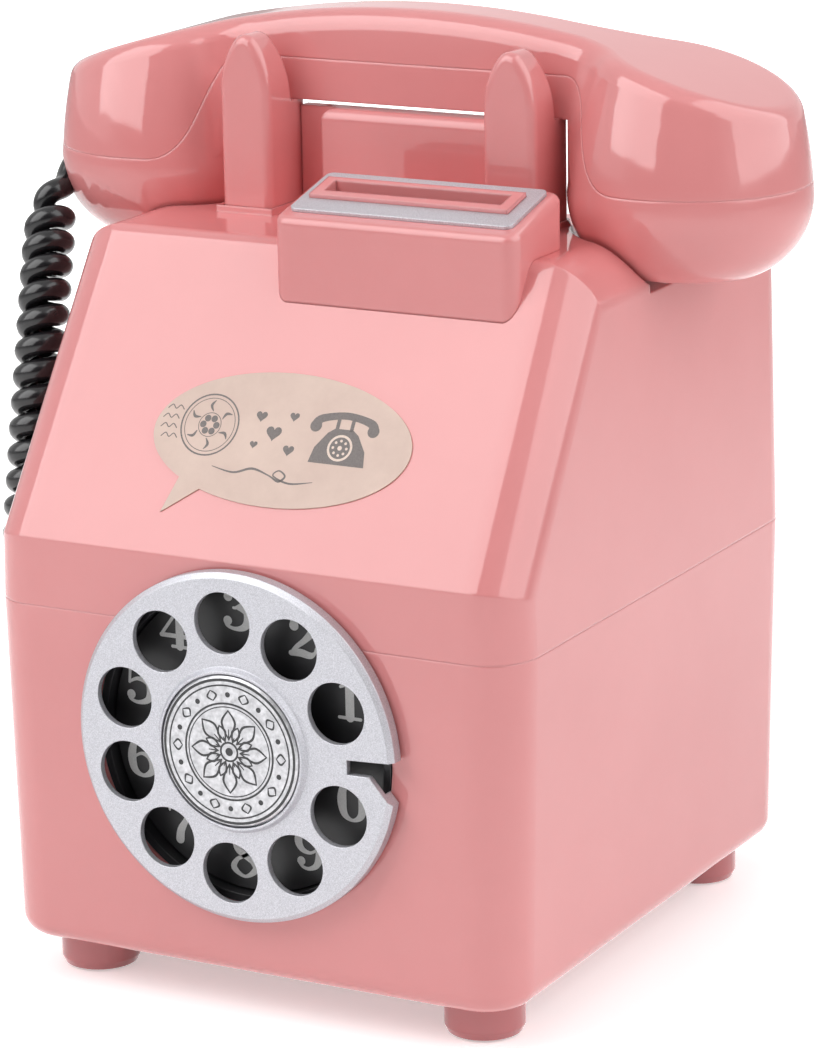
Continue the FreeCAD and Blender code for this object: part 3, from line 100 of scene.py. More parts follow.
# Soft boxes that light the part without showing in reflections: name, heading, elevation, distance,
# width, height and radiance
LAMPS = [
    ("left_box", -38.0, 42.0, 1.3, 0.85, 0.85, 3.7),
    ("right_box", 90.0, 34.0, 1.2, 0.85, 0.9, 2.6),
    ("top_box", 10.0, 82.0, 1.2, 0.9, 0.7, 1.0),
    ("back_box", 196.0, 18.0, 1.3, 0.9, 0.9, 1.7),
]
# Tall windows in the same form, which show as reflections and don't light matt surfaces
WINDOWS = [
    ("left_window", -33.0, 36.0, 1.3, 1.4, 1.45, 3.7),
    ("right_window", 104.0, 36.0, 1.2, 1.75, 1.6, 2.2),
]
LAMP_TARGET = Vector((0.0, 0.0, 0.11))
# The dark end of the room, which only reflections show: heading, edges as cosines, and strength
ROOM_HEADING = 12.0
ROOM_EDGES = (0.45, 0.85)
ROOM_STRENGTH = 0.1
WORLD_LIGHT = 0.34
# The floor's own glow, near the object and far from it, for the camera and in reflections
GLOW_RADII = (0.30, 0.80)
CAMERA_GLOW = (0.42, 0.80)
GLOSSY_GLOW = (0.75, 0.05)


# Camera

def make_camera():
    """A camera at the photograph's place, turned by its heading, elevation and roll."""
    heading = math.radians(CAMERA_HEADING)
    elevation = math.radians(CAMERA_ELEVATION)
    roll = math.radians(CAMERA_ROLL)
    back = Vector((math.sin(heading) * math.cos(elevation), -math.cos(heading) * math.cos(elevation),
                   math.sin(elevation)))
    right = Vector((math.cos(heading), math.sin(heading), 0.0))
    up = back.cross(right)
    right_rolled = right * math.cos(roll) + up * math.sin(roll)
    up_rolled = up * math.cos(roll) - right * math.sin(roll)
    data = bpy.data.cameras.new("camera")
    data.sensor_fit = "VERTICAL"
    data.sensor_height = SENSOR_HEIGHT
    data.lens = FOCAL_PIXELS * SENSOR_HEIGHT / IMAGE_HEIGHT
    data.clip_end = 20.0
    camera = bpy.data.objects.new("camera", data)
    bpy.context.collection.objects.link(camera)
    turn = Matrix((right_rolled, up_rolled, back)).transposed().to_4x4()
    camera.matrix_world = Matrix.Translation(CAMERA_PLACE) @ turn
    bpy.context.scene.camera = camera


# Materials

def new_material(name):
    """A material with its nodes, links and main shader."""
    material = bpy.data.materials.new(name)
    material.use_nodes = True
    tree = material.node_tree
    return material, tree.nodes, tree.links, tree.nodes["Principled BSDF"]


def add(nodes, kind, **values):
    """A node with its inputs or properties set by name."""
    node = nodes.new(kind)
    for key, value in values.items():
        if key in node.inputs:
            node.inputs[key].default_value = value
        else:
            setattr(node, key, value)
    return node


def noise(nodes, links, coordinates, scale, detail=3.0, roughness=0.55):
    """A noise factor whose grains are about 1 / scale of a metre."""
    node = add(nodes, "ShaderNodeTexNoise", Scale=scale, Detail=detail, Roughness=roughness)
    links.new(coordinates, node.inputs["Vector"])
    return node.outputs["Fac"]


def ramp(nodes, links, factor, low, high, low_colour, high_colour):
    """A colour that goes from one to the other as the factor goes from low to high."""
    node = nodes.new("ShaderNodeValToRGB")
    node.color_ramp.elements[0].position = low
    node.color_ramp.elements[0].color = (*low_colour, 1.0)
    node.color_ramp.elements[1].position = high
    node.color_ramp.elements[1].color = (*high_colour, 1.0)
    links.new(factor, node.inputs["Fac"])
    return node.outputs["Color"]


def spread(nodes, links, factor, low, high):
    """Maps a factor from 0..1 to low..high."""
    node = nodes.new("ShaderNodeMapRange")
    node.inputs["To Min"].default_value = low
    node.inputs["To Max"].default_value = high
    links.new(factor, node.inputs["Value"])
    return node.outputs["Result"]


def bumps(nodes, links, bsdf, height, strength, distance, edge_radius=None):
    """Relief from a height, over edges rounded by edge_radius."""
    bump = add(nodes, "ShaderNodeBump", Strength=strength, Distance=distance)
    links.new(height, bump.inputs["Height"])
    if edge_radius:
        bevel = add(nodes, "ShaderNodeBevel", samples=6, Radius=edge_radius)
        links.new(bevel.outputs["Normal"], bump.inputs["Normal"])
    links.new(bump.outputs["Normal"], bsdf.inputs["Normal"])


def linear(red, green, blue):
    """A display colour of 0 to 255 as linear values."""
    def channel(value):
        value /= 255.0
        return value / 12.92 if value <= 0.04045 else ((value + 0.055) / 1.055) ** 2.4
    return channel(red), channel(green), channel(blue)


def pink_plastic(name, low, high):
    """Glossy moulded plastic: faint flow marks, orange peel and softened edges."""
    material, nodes, links, bsdf = new_material(name)
    place = nodes.new("ShaderNodeTexCoord").outputs["Object"]
    flow = noise(nodes, links, place, scale=18.0, detail=4.0)
    colour = ramp(nodes, links, flow, 0.3, 0.7, low, high)
    links.new(colour, bsdf.inputs["Base Color"])
    smear = noise(nodes, links, place, scale=60.0, detail=5.0, roughness=0.6)
    links.new(spread(nodes, links, smear, 0.05, 0.10), bsdf.inputs["Roughness"])
    peel = noise(nodes, links, place, scale=420.0, detail=2.0)
    bumps(nodes, links, bsdf, peel, strength=0.02, distance=0.0003, edge_radius=0.0007)
    bsdf.inputs["IOR"].default_value = 1.57
    return material


def silver_paint():
    """Silver paint over plastic: fine flakes, a soft sheen and softened edges."""
    material, nodes, links, bsdf = new_material("silver_paint")
    place = nodes.new("ShaderNodeTexCoord").outputs["Object"]
    flake = noise(nodes, links, place, scale=5200.0, detail=2.0, roughness=0.7)
    colour = ramp(nodes, links, flake, 0.35, 0.7, linear(168, 168, 174), linear(207, 207, 213))
    links.new(colour, bsdf.inputs["Base Color"])
    cloud = noise(nodes, links, place, scale=90.0, detail=4.0)
    links.new(spread(nodes, links, cloud, 0.36, 0.5), bsdf.inputs["Roughness"])
    bumps(nodes, links, bsdf, flake, strength=0.08, distance=0.0001, edge_radius=0.0003)
    bsdf.inputs["Metallic"].default_value = 0.55
    return material


def black_plastic(name, shine_low, shine_high, grain, strength):
    """Black moulded plastic with a faint grain."""
    material, nodes, links, bsdf = new_material(name)
    place = nodes.new("ShaderNodeTexCoord").outputs["Object"]
    cloud = noise(nodes, links, place, scale=120.0, detail=4.0)
    colour = ramp(nodes, links, cloud, 0.3, 0.75, (0.008, 0.008, 0.009), (0.016, 0.015, 0.017))
    links.new(colour, bsdf.inputs["Base Color"])
    links.new(spread(nodes, links, cloud, shine_low, shine_high), bsdf.inputs["Roughness"])
    relief = noise(nodes, links, place, scale=grain)
    bumps(nodes, links, bsdf, relief, strength, distance=0.0002, edge_radius=0.0002)
    return material


def metal(name, low, high, rough_low, rough_high):
    """Bare metal with fine streaks in colour, shine and relief."""
    material, nodes, links, bsdf = new_material(name)
    place = nodes.new("ShaderNodeTexCoord").outputs["Object"]
    streak = noise(nodes, links, place, scale=900.0)
    links.new(ramp(nodes, links, streak, 0.3, 0.7, low, high), bsdf.inputs["Base Color"])
    links.new(spread(nodes, links, streak, rough_low, rough_high), bsdf.inputs["Roughness"])
    bumps(nodes, links, bsdf, streak, strength=0.08, distance=0.0001, edge_radius=0.0002)
    bsdf.inputs["Metallic"].default_value = 1.0
    return material


def paper():
    """Cream printed film, blotched like old paper, with a fine tooth."""
    material, nodes, links, bsdf = new_material("label_film")
    place = nodes.new("ShaderNodeTexCoord").outputs["Object"]
    blotch = noise(nodes, links, place, scale=75.0, detail=5.0, roughness=0.65)
    links.new(ramp(nodes, links, blotch, 0.25, 0.75, linear(188, 160, 147), linear(206, 180, 166)),
              bsdf.inputs["Base Color"])
    links.new(spread(nodes, links, blotch, 0.4, 0.5), bsdf.inputs["Roughness"])
    tooth = noise(nodes, links, place, scale=2600.0)
    bumps(nodes, links, bsdf, tooth, strength=0.1, distance=0.0001)
    return material


def fibre():
    """Brown pressed fibre."""
    material, nodes, links, bsdf = new_material("fibre")
    place = nodes.new("ShaderNodeTexCoord").outputs["Object"]
    thread = noise(nodes, links, place, scale=1500.0, detail=4.0)
    links.new(ramp(nodes, links, thread, 0.3, 0.7, (0.12, 0.03, 0.015), (0.22, 0.07, 0.03)),
              bsdf.inputs["Base Color"])
    links.new(spread(nodes, links, thread, 0.7, 0.9), bsdf.inputs["Roughness"])
    bumps(nodes, links, bsdf, thread, strength=0.3, distance=0.0001)
    return material


MATERIALS = {
    "pink_plastic": pink_plastic("pink_plastic", linear(221, 138, 138), linear(226, 144, 144)),
    # The feet's pink is darkened: painted shade for the shadow they stand in under the casing.
    "painted_shade_foot_plastic": pink_plastic("painted_shade_foot_plastic", linear(188, 105, 107), linear(194, 111, 113)),
    "silver_paint": silver_paint(),
    "black_plastic": black_plastic("black_plastic", 0.3, 0.45, grain=700.0, strength=0.1),
    "number_print": black_plastic("number_print", 0.35, 0.5, grain=1500.0, strength=0.06),
    "cord_vinyl": black_plastic("cord_vinyl", 0.16, 0.26, grain=500.0, strength=0.05),
    "badge_metal": metal("badge_metal", linear(160, 160, 163), linear(198, 198, 201), 0.3, 0.42),
    "steel": metal("steel", (0.36, 0.36, 0.37), (0.55, 0.55, 0.56), 0.2, 0.35),
    "label_film": paper(),
    "fibre": fibre(),
}


def dress_frame():
    """Gives each construction piece the material of its slot, and the feet a darker pink as painted
    shade for the shadow under the casing.
    """
    slots = {part["node"]: part["material_slot"] for part in frame["record"]["subparts"]}
    for name, item in frame["nodes"].items():
        item.data.materials.clear()
        item.data.materials.append(MATERIALS["painted_shade_foot_plastic" if name == "feet" else slots[name]])


# Curly cord

CORD_START = Vector((-0.0785, 0.0070, 0.1605))
CORD_END = Vector((-0.060889, -0.0365, 0.0575))
# Each bend: distance from the casing's side in metres, then shares of the way back and up to the start
CORD_BENDS = [
    (0.0196, 0.74, 0.917), (0.0170, 0.59, 0.85), (0.0144, 0.45, 0.768), (0.0122, 0.33, 0.678),
    (0.0112, 0.24, 0.57), (0.0103, 0.15, 0.455), (0.0100, 0.09, 0.34), (0.0103, 0.045, 0.23),
    (0.0105, 0.012, 0.125), (0.0105, 0.0, 0.0),
]


def cord_route():
    """Corners of the curls' middle line, from the handset down to the casing."""
    shift = Vector((0, SHIFT_Y, 0))
    way_back = CORD_START.y - CORD_END.y
    way_up = CORD_START.z - CORD_END.z
    bends = [Vector((-BODY_WIDTH / 2 - out, CORD_END.y + way_back * back, CORD_END.z + way_up * high))
             for out, back, high in CORD_BENDS]
    return [point + shift for point in (CORD_START, *bends, CORD_END)]


def spline_line(points, resolution):
    """Points read from the NURBS spline that has these control points."""
    curve = bpy.data.curves.new("route", "CURVE")
    curve.dimensions = "3D"
    spline = curve.splines.new("NURBS")
    spline.points.add(len(points) - 1)
    for item, point in zip(spline.points, points):
        item.co = (*point, 1.0)
    spline.order_u = 3
    spline.use_endpoint_u = True
    spline.resolution_u = resolution
    holder = bpy.data.objects.new("route", curve)
    bpy.context.collection.objects.link(holder)
    bpy.context.view_layer.update()
    mesh = bpy.data.meshes.new_from_object(holder)
    line = [vertex.co.copy() for vertex in mesh.vertices]
    bpy.data.meshes.remove(mesh)
    bpy.data.objects.remove(holder)
    bpy.data.curves.remove(curve)
    return line


def resample(line, step):
    """Evenly spaced points along a polyline, and its length."""
    lengths = [0.0]
    for first, second in zip(line, line[1:]):
        lengths.append(lengths[-1] + (second - first).length)
    count = max(2, round(lengths[-1] / step))
    points = []
    index = 0
    for number in range(count + 1):
        target = lengths[-1] * number / count
        while index < len(line) - 2 and lengths[index + 1] < target:
            index += 1
        share = (target - lengths[index]) / max(1e-12, lengths[index + 1] - lengths[index])
        points.append(line[index].lerp(line[index + 1], min(1.0, share)))
    return points, lengths[-1]


def curled(line, length):
    """The wire's middle line: curls about the route, then a plain tail."""
    curled_length = length - CORD_TAIL
    turns = round(curled_length / CURL_PITCH)
    ease = EASING_CURLS * curled_length / turns
    rate = 2 * math.pi * turns / (curled_length - ease)
    points = []
    for index, centre in enumerate(line):
        distance = length * index / (len(line) - 1)
        ahead = (line[min(index + 1, len(line) - 1)] - line[max(index - 1, 0)]).normalized()
        side = (Vector((0, 1, 0)) - ahead * ahead.y).normalized()
        up = ahead.cross(side)
        share = max(0.0, min(1.0, distance / ease, (curled_length - distance) / ease))
        size = CURL_RADIUS * share * share * (3 - 2 * share)
        if distance < ease:
            counted = distance * distance / (2 * ease)
        elif distance > curled_length - ease:
            counted = curled_length - ease - max(0.0, curled_length - distance) ** 2 / (2 * ease)
        else:
            counted = distance - ease / 2
        phase = rate * counted
        points.append(centre + side * (size * math.cos(phase)) + up * (size * math.sin(phase)))
    return points


def tube(name, line, radius, sides):
    """A round tube along a line, with rings that don't twist."""
    mesh = bmesh.new()
    ahead = (line[1] - line[0]).normalized()
    side = ahead.orthogonal().normalized()
    rings = []
    for index, point in enumerate(line):
        new_ahead = (line[min(index + 1, len(line) - 1)] - line[max(index - 1, 0)]).normalized()
        side = (side - new_ahead * side.dot(new_ahead)).normalized()
        other = new_ahead.cross(side)
        rings.append([mesh.verts.new(point + radius * (side * math.cos(turn) + other * math.sin(turn)))
                      for turn in (2 * math.pi * corner / sides for corner in range(sides))])
    for first, second in zip(rings, rings[1:]):
        for corner in range(sides):
            after = (corner + 1) % sides
            mesh.faces.new((first[corner], first[after], second[after], second[corner]))
    mesh.faces.new(list(reversed(rings[0])))
    mesh.faces.new(rings[-1])
    return mesh_object(name, mesh)


def mesh_object(name, mesh, smooth=True):
    """A bmesh as a linked object, with its faces turned to agree with each other."""
    bmesh.ops.recalc_face_normals(mesh, faces=mesh.faces)
    data = bpy.data.meshes.new(name)
    mesh.to_mesh(data)
    mesh.free()
    if smooth:
        for face in data.polygons:
            face.use_smooth = True
    item = bpy.data.objects.new(name, data)
    bpy.context.collection.objects.link(item)
    return item


def make_cord():
    """The curly lead from the handset's bush to the casing's, as one fixed tube."""
    route = cord_route()
    start = route[0] + (route[1] - route[0]).normalized() * WIRE_DIAMETER
    end = route[-1] - (route[-1] - route[-2]).normalized() * WIRE_DIAMETER
    line = spline_line([start, *route[1:-1], end], SPLINE_STEPS)
    even, length = resample(line, ROUTE_STEP)
    wire = [route[0], *curled(even, length), route[-1]]
    path, wire_length = resample(wire, RING_STEP)
    cord = tube("coiled_lead", path, WIRE_DIAMETER / 2, WIRE_SIDES)
    cord.data.materials.append(MATERIALS["cord_vinyl"])
    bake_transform(cord)
    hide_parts("curly_cord")


# Printed and engraved marks, drawn as thin sheets just above what carries them

def smooth_path(spots, steps=6):
    """Points along a curve through the spots; each spot is (x, y, width)."""
    padded = [spots[0], *spots, spots[-1]]
    points = []
    for index in range(1, len(padded) - 2):
        a, b, c, d = (Vector(spot) for spot in padded[index - 1:index + 3])
        for step in range(steps):
            t = step / steps
            points.append(0.5 * (2 * b + (c - a) * t + (2 * a - 5 * b + 4 * c - d) * t * t
                                 + (3 * b - a - 3 * c + d) * t ** 3))
    points.append(Vector(spots[-1]))
    return points


class Print:
    """Collects flat shapes in one mesh; place turns flat coordinates into the row frame."""

    def __init__(self, name, place):
        self.name = name
        self.place = place
        self.mesh = bmesh.new()
        self.layers = 0

    def next_lift(self):
        """How far the next mark stands off, so that marks that cross don't share a plane."""
        self.layers += 1
        return LAYER_STEP * (self.layers % LAYER_CYCLE)

    def area(self, outline):
        """A filled outline."""
        lift = self.next_lift()
        self.mesh.faces.new([self.mesh.verts.new(self.place(x, y, lift)) for x, y in outline])

    def dot(self, x, y, radius, sides=20):
        """A filled round."""
        self.area([(x + radius * math.cos(turn), y + radius * math.sin(turn))
                   for turn in (2 * math.pi * side / sides for side in range(sides))])

    def line(self, spots, steps=6):
        """A line of changing width through (x, y, width) spots, with round ends."""
        lift = self.next_lift()
        points = smooth_path(spots, steps)
        rails = []
        for index, point in enumerate(points):
            before = points[max(index - 1, 0)]
            after = points[min(index + 1, len(points) - 1)]
            way = Vector((after.x - before.x, after.y - before.y)).normalized()
            side = Vector((-way.y, way.x)) * point.z / 2
            edges = ((point.x + sign * side.x, point.y + sign * side.y) for sign in (1, -1))
            rails.append([self.mesh.verts.new(self.place(x, y, lift)) for x, y in edges])
        for first, second in zip(rails, rails[1:]):
            self.mesh.faces.new((first[0], first[1], second[1], second[0]))
        for point in (points[0], points[-1]):
            self.dot(point.x, point.y, point.z / 2, sides=14)

    def ring(self, x, y, radius, width, sides=72):
        """A round line."""
        rails = []
        for side in range(sides):
            turn = 2 * math.pi * side / sides
            spots = ((x + size * math.cos(turn), y + size * math.sin(turn))
                     for size in (radius - width / 2, radius + width / 2))
            rails.append([self.mesh.verts.new(self.place(*spot, 0)) for spot in spots])
        for index, rail in enumerate(rails):
            after = rails[(index + 1) % sides]
            self.mesh.faces.new((rail[0], rail[1], after[1], after[0]))

    def finished(self, body, material):
        """The shapes so far as a piece that rides on a body."""
        piece = mesh_object(self.name, self.mesh, smooth=False)
        piece.data.materials.append(material)
        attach(piece, body)
        return piece


def on_dial(height):
    """Flat millimetres about the dial's centre, seen from the front, at a distance before the casing."""
    def place(x, y, lift):
        return Vector((x * MM, FRONT_Y - height * MM - lift, DIAL_CENTRE.z + y * MM))
    return place


def on_slope(height):
    """Flat millimetres across and up the slope from its crease, at a height over it."""
    crease = Vector((0, FRONT_Y, CREASE_HEIGHT))
    up = Vector((0, math.cos(SLOPE_LEAN), math.sin(SLOPE_LEAN)))
    out = Vector((0, -math.sin(SLOPE_LEAN), math.cos(SLOPE_LEAN)))

    def place(x, y, lift):
        return crease + Vector((x * MM, 0, 0)) + up * (y * MM) + out * (height * MM + lift)
    return place


def ink(name, dark, light, roughness):
    """Ink or paint with fine specks."""
    material, nodes, links, bsdf = new_material(name)
    place = nodes.new("ShaderNodeTexCoord").outputs["Object"]
    speck = noise(nodes, links, place, scale=3000.0)
    links.new(ramp(nodes, links, speck, 0.3, 0.7, dark, light), bsdf.inputs["Base Color"])
    links.new(spread(nodes, links, speck, roughness, roughness + 0.12), bsdf.inputs["Roughness"])
    return material


# Numerals in a unit square: each stroke is a row of (x, y, width), each dot is (x, y, radius)
NUMERALS = {
    "1": (
        [[(-0.19, 0.77, 0.05), (-0.06, 0.86, 0.08), (0.0, 0.97, 0.1)],
         [(0.0, 0.93, 0.17), (0.0, 0.05, 0.17)],
         [(-0.22, 0.03, 0.06), (0.22, 0.03, 0.06)]],
        []),
    "2": (
        [[(-0.24, 0.74, 0.05), (-0.2, 0.89, 0.06), (-0.02, 0.97, 0.08), (0.2, 0.87, 0.15),
          (0.21, 0.66, 0.16), (0.05, 0.42, 0.11), (-0.14, 0.22, 0.08), (-0.25, 0.06, 0.06)],
         [(-0.25, 0.06, 0.1), (-0.06, 0.09, 0.14), (0.14, 0.05, 0.12), (0.24, 0.12, 0.06),
          (0.27, 0.24, 0.04)]],
        [(-0.18, 0.73, 0.09)]),
    "3": (
        [[(-0.23, 0.8, 0.05), (-0.16, 0.92, 0.06), (0.0, 0.97, 0.07), (0.19, 0.87, 0.14),
          (0.18, 0.66, 0.14), (0.0, 0.54, 0.06), (-0.06, 0.53, 0.05)],
         [(0.0, 0.54, 0.05), (0.2, 0.46, 0.13), (0.24, 0.24, 0.17), (0.14, 0.07, 0.12),
          (-0.04, 0.02, 0.07), (-0.2, 0.08, 0.06), (-0.25, 0.2, 0.05)]],
        [(-0.17, 0.79, 0.085), (-0.19, 0.2, 0.085)]),
    "4": (
        [[(0.08, 0.95, 0.06), (-0.28, 0.32, 0.06)],
         [(-0.29, 0.29, 0.08), (0.3, 0.29, 0.08)],
         [(0.1, 0.92, 0.16), (0.1, 0.05, 0.16)],
         [(-0.06, 0.03, 0.06), (0.26, 0.03, 0.06)]],
        []),
    "5": (
        [[(-0.19, 0.92, 0.06), (-0.22, 0.5, 0.05)],
         [(-0.18, 0.89, 0.12), (0.04, 0.87, 0.13), (0.22, 0.95, 0.05)],
         [(-0.22, 0.51, 0.05), (-0.04, 0.61, 0.07), (0.18, 0.54, 0.13), (0.24, 0.32, 0.17),
          (0.16, 0.1, 0.12), (-0.04, 0.02, 0.07), (-0.2, 0.08, 0.06), (-0.25, 0.2, 0.05)]],
        [(-0.19, 0.2, 0.085)]),
    "6": (
        [[(0.23, 0.82, 0.05), (0.14, 0.94, 0.06), (0.0, 0.97, 0.07), (-0.16, 0.84, 0.12),
          (-0.23, 0.5, 0.17), (-0.18, 0.16, 0.14), (0.0, 0.02, 0.07), (0.18, 0.13, 0.13),
          (0.22, 0.33, 0.15), (0.14, 0.51, 0.11), (-0.02, 0.57, 0.06), (-0.16, 0.48, 0.05)]],
        [(0.17, 0.8, 0.08)]),
    "7": (
        [[(-0.26, 0.76, 0.04), (-0.24, 0.9, 0.09), (-0.08, 0.91, 0.14), (0.1, 0.87, 0.12),
          (0.26, 0.94, 0.07)],
         [(0.25, 0.93, 0.05), (0.1, 0.58, 0.1), (-0.02, 0.3, 0.15), (-0.05, 0.06, 0.17)]],
        []),
    "8": (
        [[(0.0, 0.97, 0.06), (-0.17, 0.87, 0.12), (-0.14, 0.68, 0.13), (0.0, 0.56, 0.13),
          (0.19, 0.42, 0.15), (0.23, 0.22, 0.13), (0.0, 0.02, 0.06), (-0.23, 0.2, 0.12),
          (-0.16, 0.42, 0.08), (0.0, 0.54, 0.06), (0.15, 0.68, 0.08), (0.16, 0.88, 0.1),
          (0.0, 0.97, 0.06)]],
        []),
    "9": (
        [[(-0.23, 0.18, 0.05), (-0.14, 0.06, 0.06), (0.0, 0.03, 0.07), (0.16, 0.16, 0.12),
          (0.23, 0.5, 0.17), (0.18, 0.84, 0.14), (0.0, 0.98, 0.07), (-0.18, 0.87, 0.13),
          (-0.22, 0.67, 0.15), (-0.14, 0.49, 0.11), (0.02, 0.43, 0.06), (0.16, 0.52, 0.05)]],
        [(-0.17, 0.2, 0.08)]),
    "0": (
        [[(0.0, 0.97, 0.06), (-0.17, 0.84, 0.13), (-0.22, 0.5, 0.18), (-0.17, 0.16, 0.13),
          (0.0, 0.03, 0.06), (0.17, 0.16, 0.13), (0.22, 0.5, 0.18), (0.17, 0.84, 0.13),
          (0.0, 0.97, 0.06)]],
        []),
}


def make_numerals(material):
    """Upright numerals on the black disc, one behind each finger hole at rest."""
    marks = Print("dial_numerals", on_dial(NUMERAL_HEIGHT))
    for index, numeral in enumerate("1234567890"):
        turn = math.radians(FINGER_FIRST + FINGER_STEP * index)
        x = FINGER_CIRCLE * math.cos(turn) + NUMERAL_SHIFT[0]
        y = FINGER_CIRCLE * math.sin(turn) + NUMERAL_SHIFT[1] - NUMERAL_TALL / 2
        strokes, dots = NUMERALS[numeral]
        for stroke in strokes:
            marks.line([(x + NUMERAL_WIDE * a, y + NUMERAL_TALL * b, NUMERAL_STROKE * width)
                        for a, b, width in stroke])
        for a, b, radius in dots:
            marks.dot(x + NUMERAL_WIDE * a, y + NUMERAL_TALL * b, NUMERAL_STROKE * radius)
    marks.finished("casing", material)


# The badge's rosette, in millimetres: rings as (radius, line width), the band of dots and lozenges
# between them, and rows of petals as (turn in petals, inner radius, outer radius, half angle)
BADGE_RINGS = [(14.7, 0.55), (13.6, 0.34), (9.9, 0.42), (9.2, 0.24)]
BAND_PLACES = 20
BAND_RADII = (10.7, 11.75, 12.8)
BAND_DOT = 0.55
LOZENGE_HALF_ANGLE = 0.09
PETALS = 8
PETAL_ROWS = [(0.0, 2.5, 8.5, 0.25), (0.5, 2.2, 5.6, 0.2)]
PETAL_WIDEST = 0.6


def spot(radius, turn, centre=(0.0, 0.0)):
    """A flat point by its distance and direction from a centre."""
    return centre[0] + radius * math.cos(turn), centre[1] + radius * math.sin(turn)


def leaf(radii, turn, lean, thin, thick, centre=(0.0, 0.0)):
    """A line out from a centre that leans aside by an angle at its middle, where it is thickest."""
    inner, middle, outer = radii
    return [(*spot(inner, turn, centre), thin), (*spot(middle, turn + lean, centre), thick),
            (*spot(outer, turn, centre), thin)]


def make_badge_lines(material):
    """A plain rosette in double rings, as engraved lines filled with dark paint."""
    lines = Print("badge_engraving", on_dial(ENGRAVING_HEIGHT))
    for radius, width in BADGE_RINGS:
        lines.ring(0, 0, radius, width)
    for index in range(BAND_PLACES):
        turn = 2 * math.pi * index / BAND_PLACES
        if index % 2:
            lines.dot(*spot(BAND_RADII[1], turn), BAND_DOT)
            continue
        for sign in (-1, 1):
            lean = sign * LOZENGE_HALF_ANGLE
            lines.line(leaf(BAND_RADII, turn, lean, thin=0.2, thick=0.45), steps=5)
    for shift, inner, outer, half in PETAL_ROWS:
        middle = inner + PETAL_WIDEST * (outer - inner)
        for index in range(PETALS):
            turn = 2 * math.pi * (index + shift) / PETALS
            for sign in (-1, 1):
                petal = leaf((inner, middle, outer), turn, sign * half, thin=0.28, thick=0.5)
                lines.line(petal, steps=7)
            lines.line([(*spot(inner, turn), 0.34), (*spot(0.75 * middle, turn), 0.22)], steps=3)
    lines.ring(0, 0, 1.9, 0.42, sides=32)
    lines.dot(0, 0, 0.85)
    lines.finished("dial", material)


# The label's motifs, in millimetres across and up the slope. Lines are (x, y, width), and the
# telephone's come with the steps of their curve
FLOWER_CENTRE = (-14.5, 27.6)
FLOWER_RINGS = [(6.4, 0.34), (5.6, 0.16), (2.5, 0.16)]
FLOWER_PETALS = 6
FLOWER_LEAF = (2.9, 4.1, 5.1)
WAVES = 4
WAVE_SPOTS = 5
TELEPHONE_FOOT = (15.5, 22.3)
TELEPHONE_BODY = [
    (-6.2, 0.0), (6.2, 0.0), (5.6, 3.2), (3.4, 6.4), (2.0, 7.4), (-2.0, 7.4), (-3.4, 6.4), (-5.6, 3.2),
]
TELEPHONE_LINES = [
    ([(-6.4, 7.6, 2.6), (-5.4, 9.2, 1.7), (0.0, 10.2, 1.5), (5.4, 9.2, 1.7), (6.4, 7.6, 2.6)], 6),
    ([(-1.6, 7.4, 0.8), (-1.6, 9.2, 0.8)], 2),
    ([(1.6, 7.4, 0.8), (1.6, 9.2, 0.8)], 2),
]
TELEPHONE_DIAL_RISE = 3.5
TELEPHONE_DIAL_HOLES = 8
HEARTS = [
    (-3.4, 30.6, 2.6), (0.2, 27.4, 3.6), (3.9, 31.2, 2.2), (-3.6, 24.6, 1.8), (4.4, 24.2, 2.6),
]
FLOURISH = [
    (-11.5, 19.2, 0.14), (-6.5, 18.4, 0.4), (-2.5, 19.6, 0.5), (1.5, 18.6, 0.3), (4.0, 17.6, 0.5),
    (5.2, 18.8, 0.4), (3.6, 19.8, 0.3), (2.6, 18.6, 0.3), (6.5, 17.4, 0.4), (11.5, 18.2, 0.14),
]


def heart(x, y, size):
    """Outline of a small heart, by the well-known curve of four cosines."""
    points = []
    for index in range(26):
        turn = 2 * math.pi * index / 26
        across = 16 * math.sin(turn) ** 3
        high = 13 * math.cos(turn) - 5 * math.cos(2 * turn) - 2 * math.cos(3 * turn) - math.cos(4 * turn)
        points.append((x + 0.03 * size * across, y + 0.03 * size * high))
    return points


def print_flower(marks):
    """A flower in rings, with waves to its left."""
    x, y = FLOWER_CENTRE
    for radius, width in FLOWER_RINGS:
        marks.ring(x, y, radius, width, sides=48)
    for index in range(FLOWER_PETALS):
        turn = 2 * math.pi * index / FLOWER_PETALS
        marks.dot(*spot(1.5, turn, FLOWER_CENTRE), 0.72, sides=14)
        turn += math.pi / FLOWER_PETALS
        marks.line(leaf(FLOWER_LEAF, turn, 0.16, 0.2, 0.62, FLOWER_CENTRE), steps=4)
    for row in range(WAVES):
        left = x - 11.2 + 0.6 * abs(row - (WAVES - 1) / 2)
        middle = y + 3.0 - 2.0 * row
        marks.line([(left + 0.9 * step, middle + (0.4 if step % 2 else -0.4), 0.22)
                    for step in range(WAVE_SPOTS)], steps=5)


def print_telephone(marks, pale):
    """A small desk telephone, with its dial in the pale ink."""
    x, y = TELEPHONE_FOOT
    marks.area([(x + across, y + up) for across, up in TELEPHONE_BODY])
    for spots, steps in TELEPHONE_LINES:
        marks.line([(x + across, y + up, width) for across, up, width in spots], steps)
    middle = (x, y + TELEPHONE_DIAL_RISE)
    pale.ring(*middle, 2.5, 0.5, sides=32)
    for index in range(TELEPHONE_DIAL_HOLES):
        pale.dot(*spot(1.5, 2 * math.pi * index / TELEPHONE_DIAL_HOLES, middle), 0.3, sides=10)
    pale.dot(*middle, 0.5, sides=12)


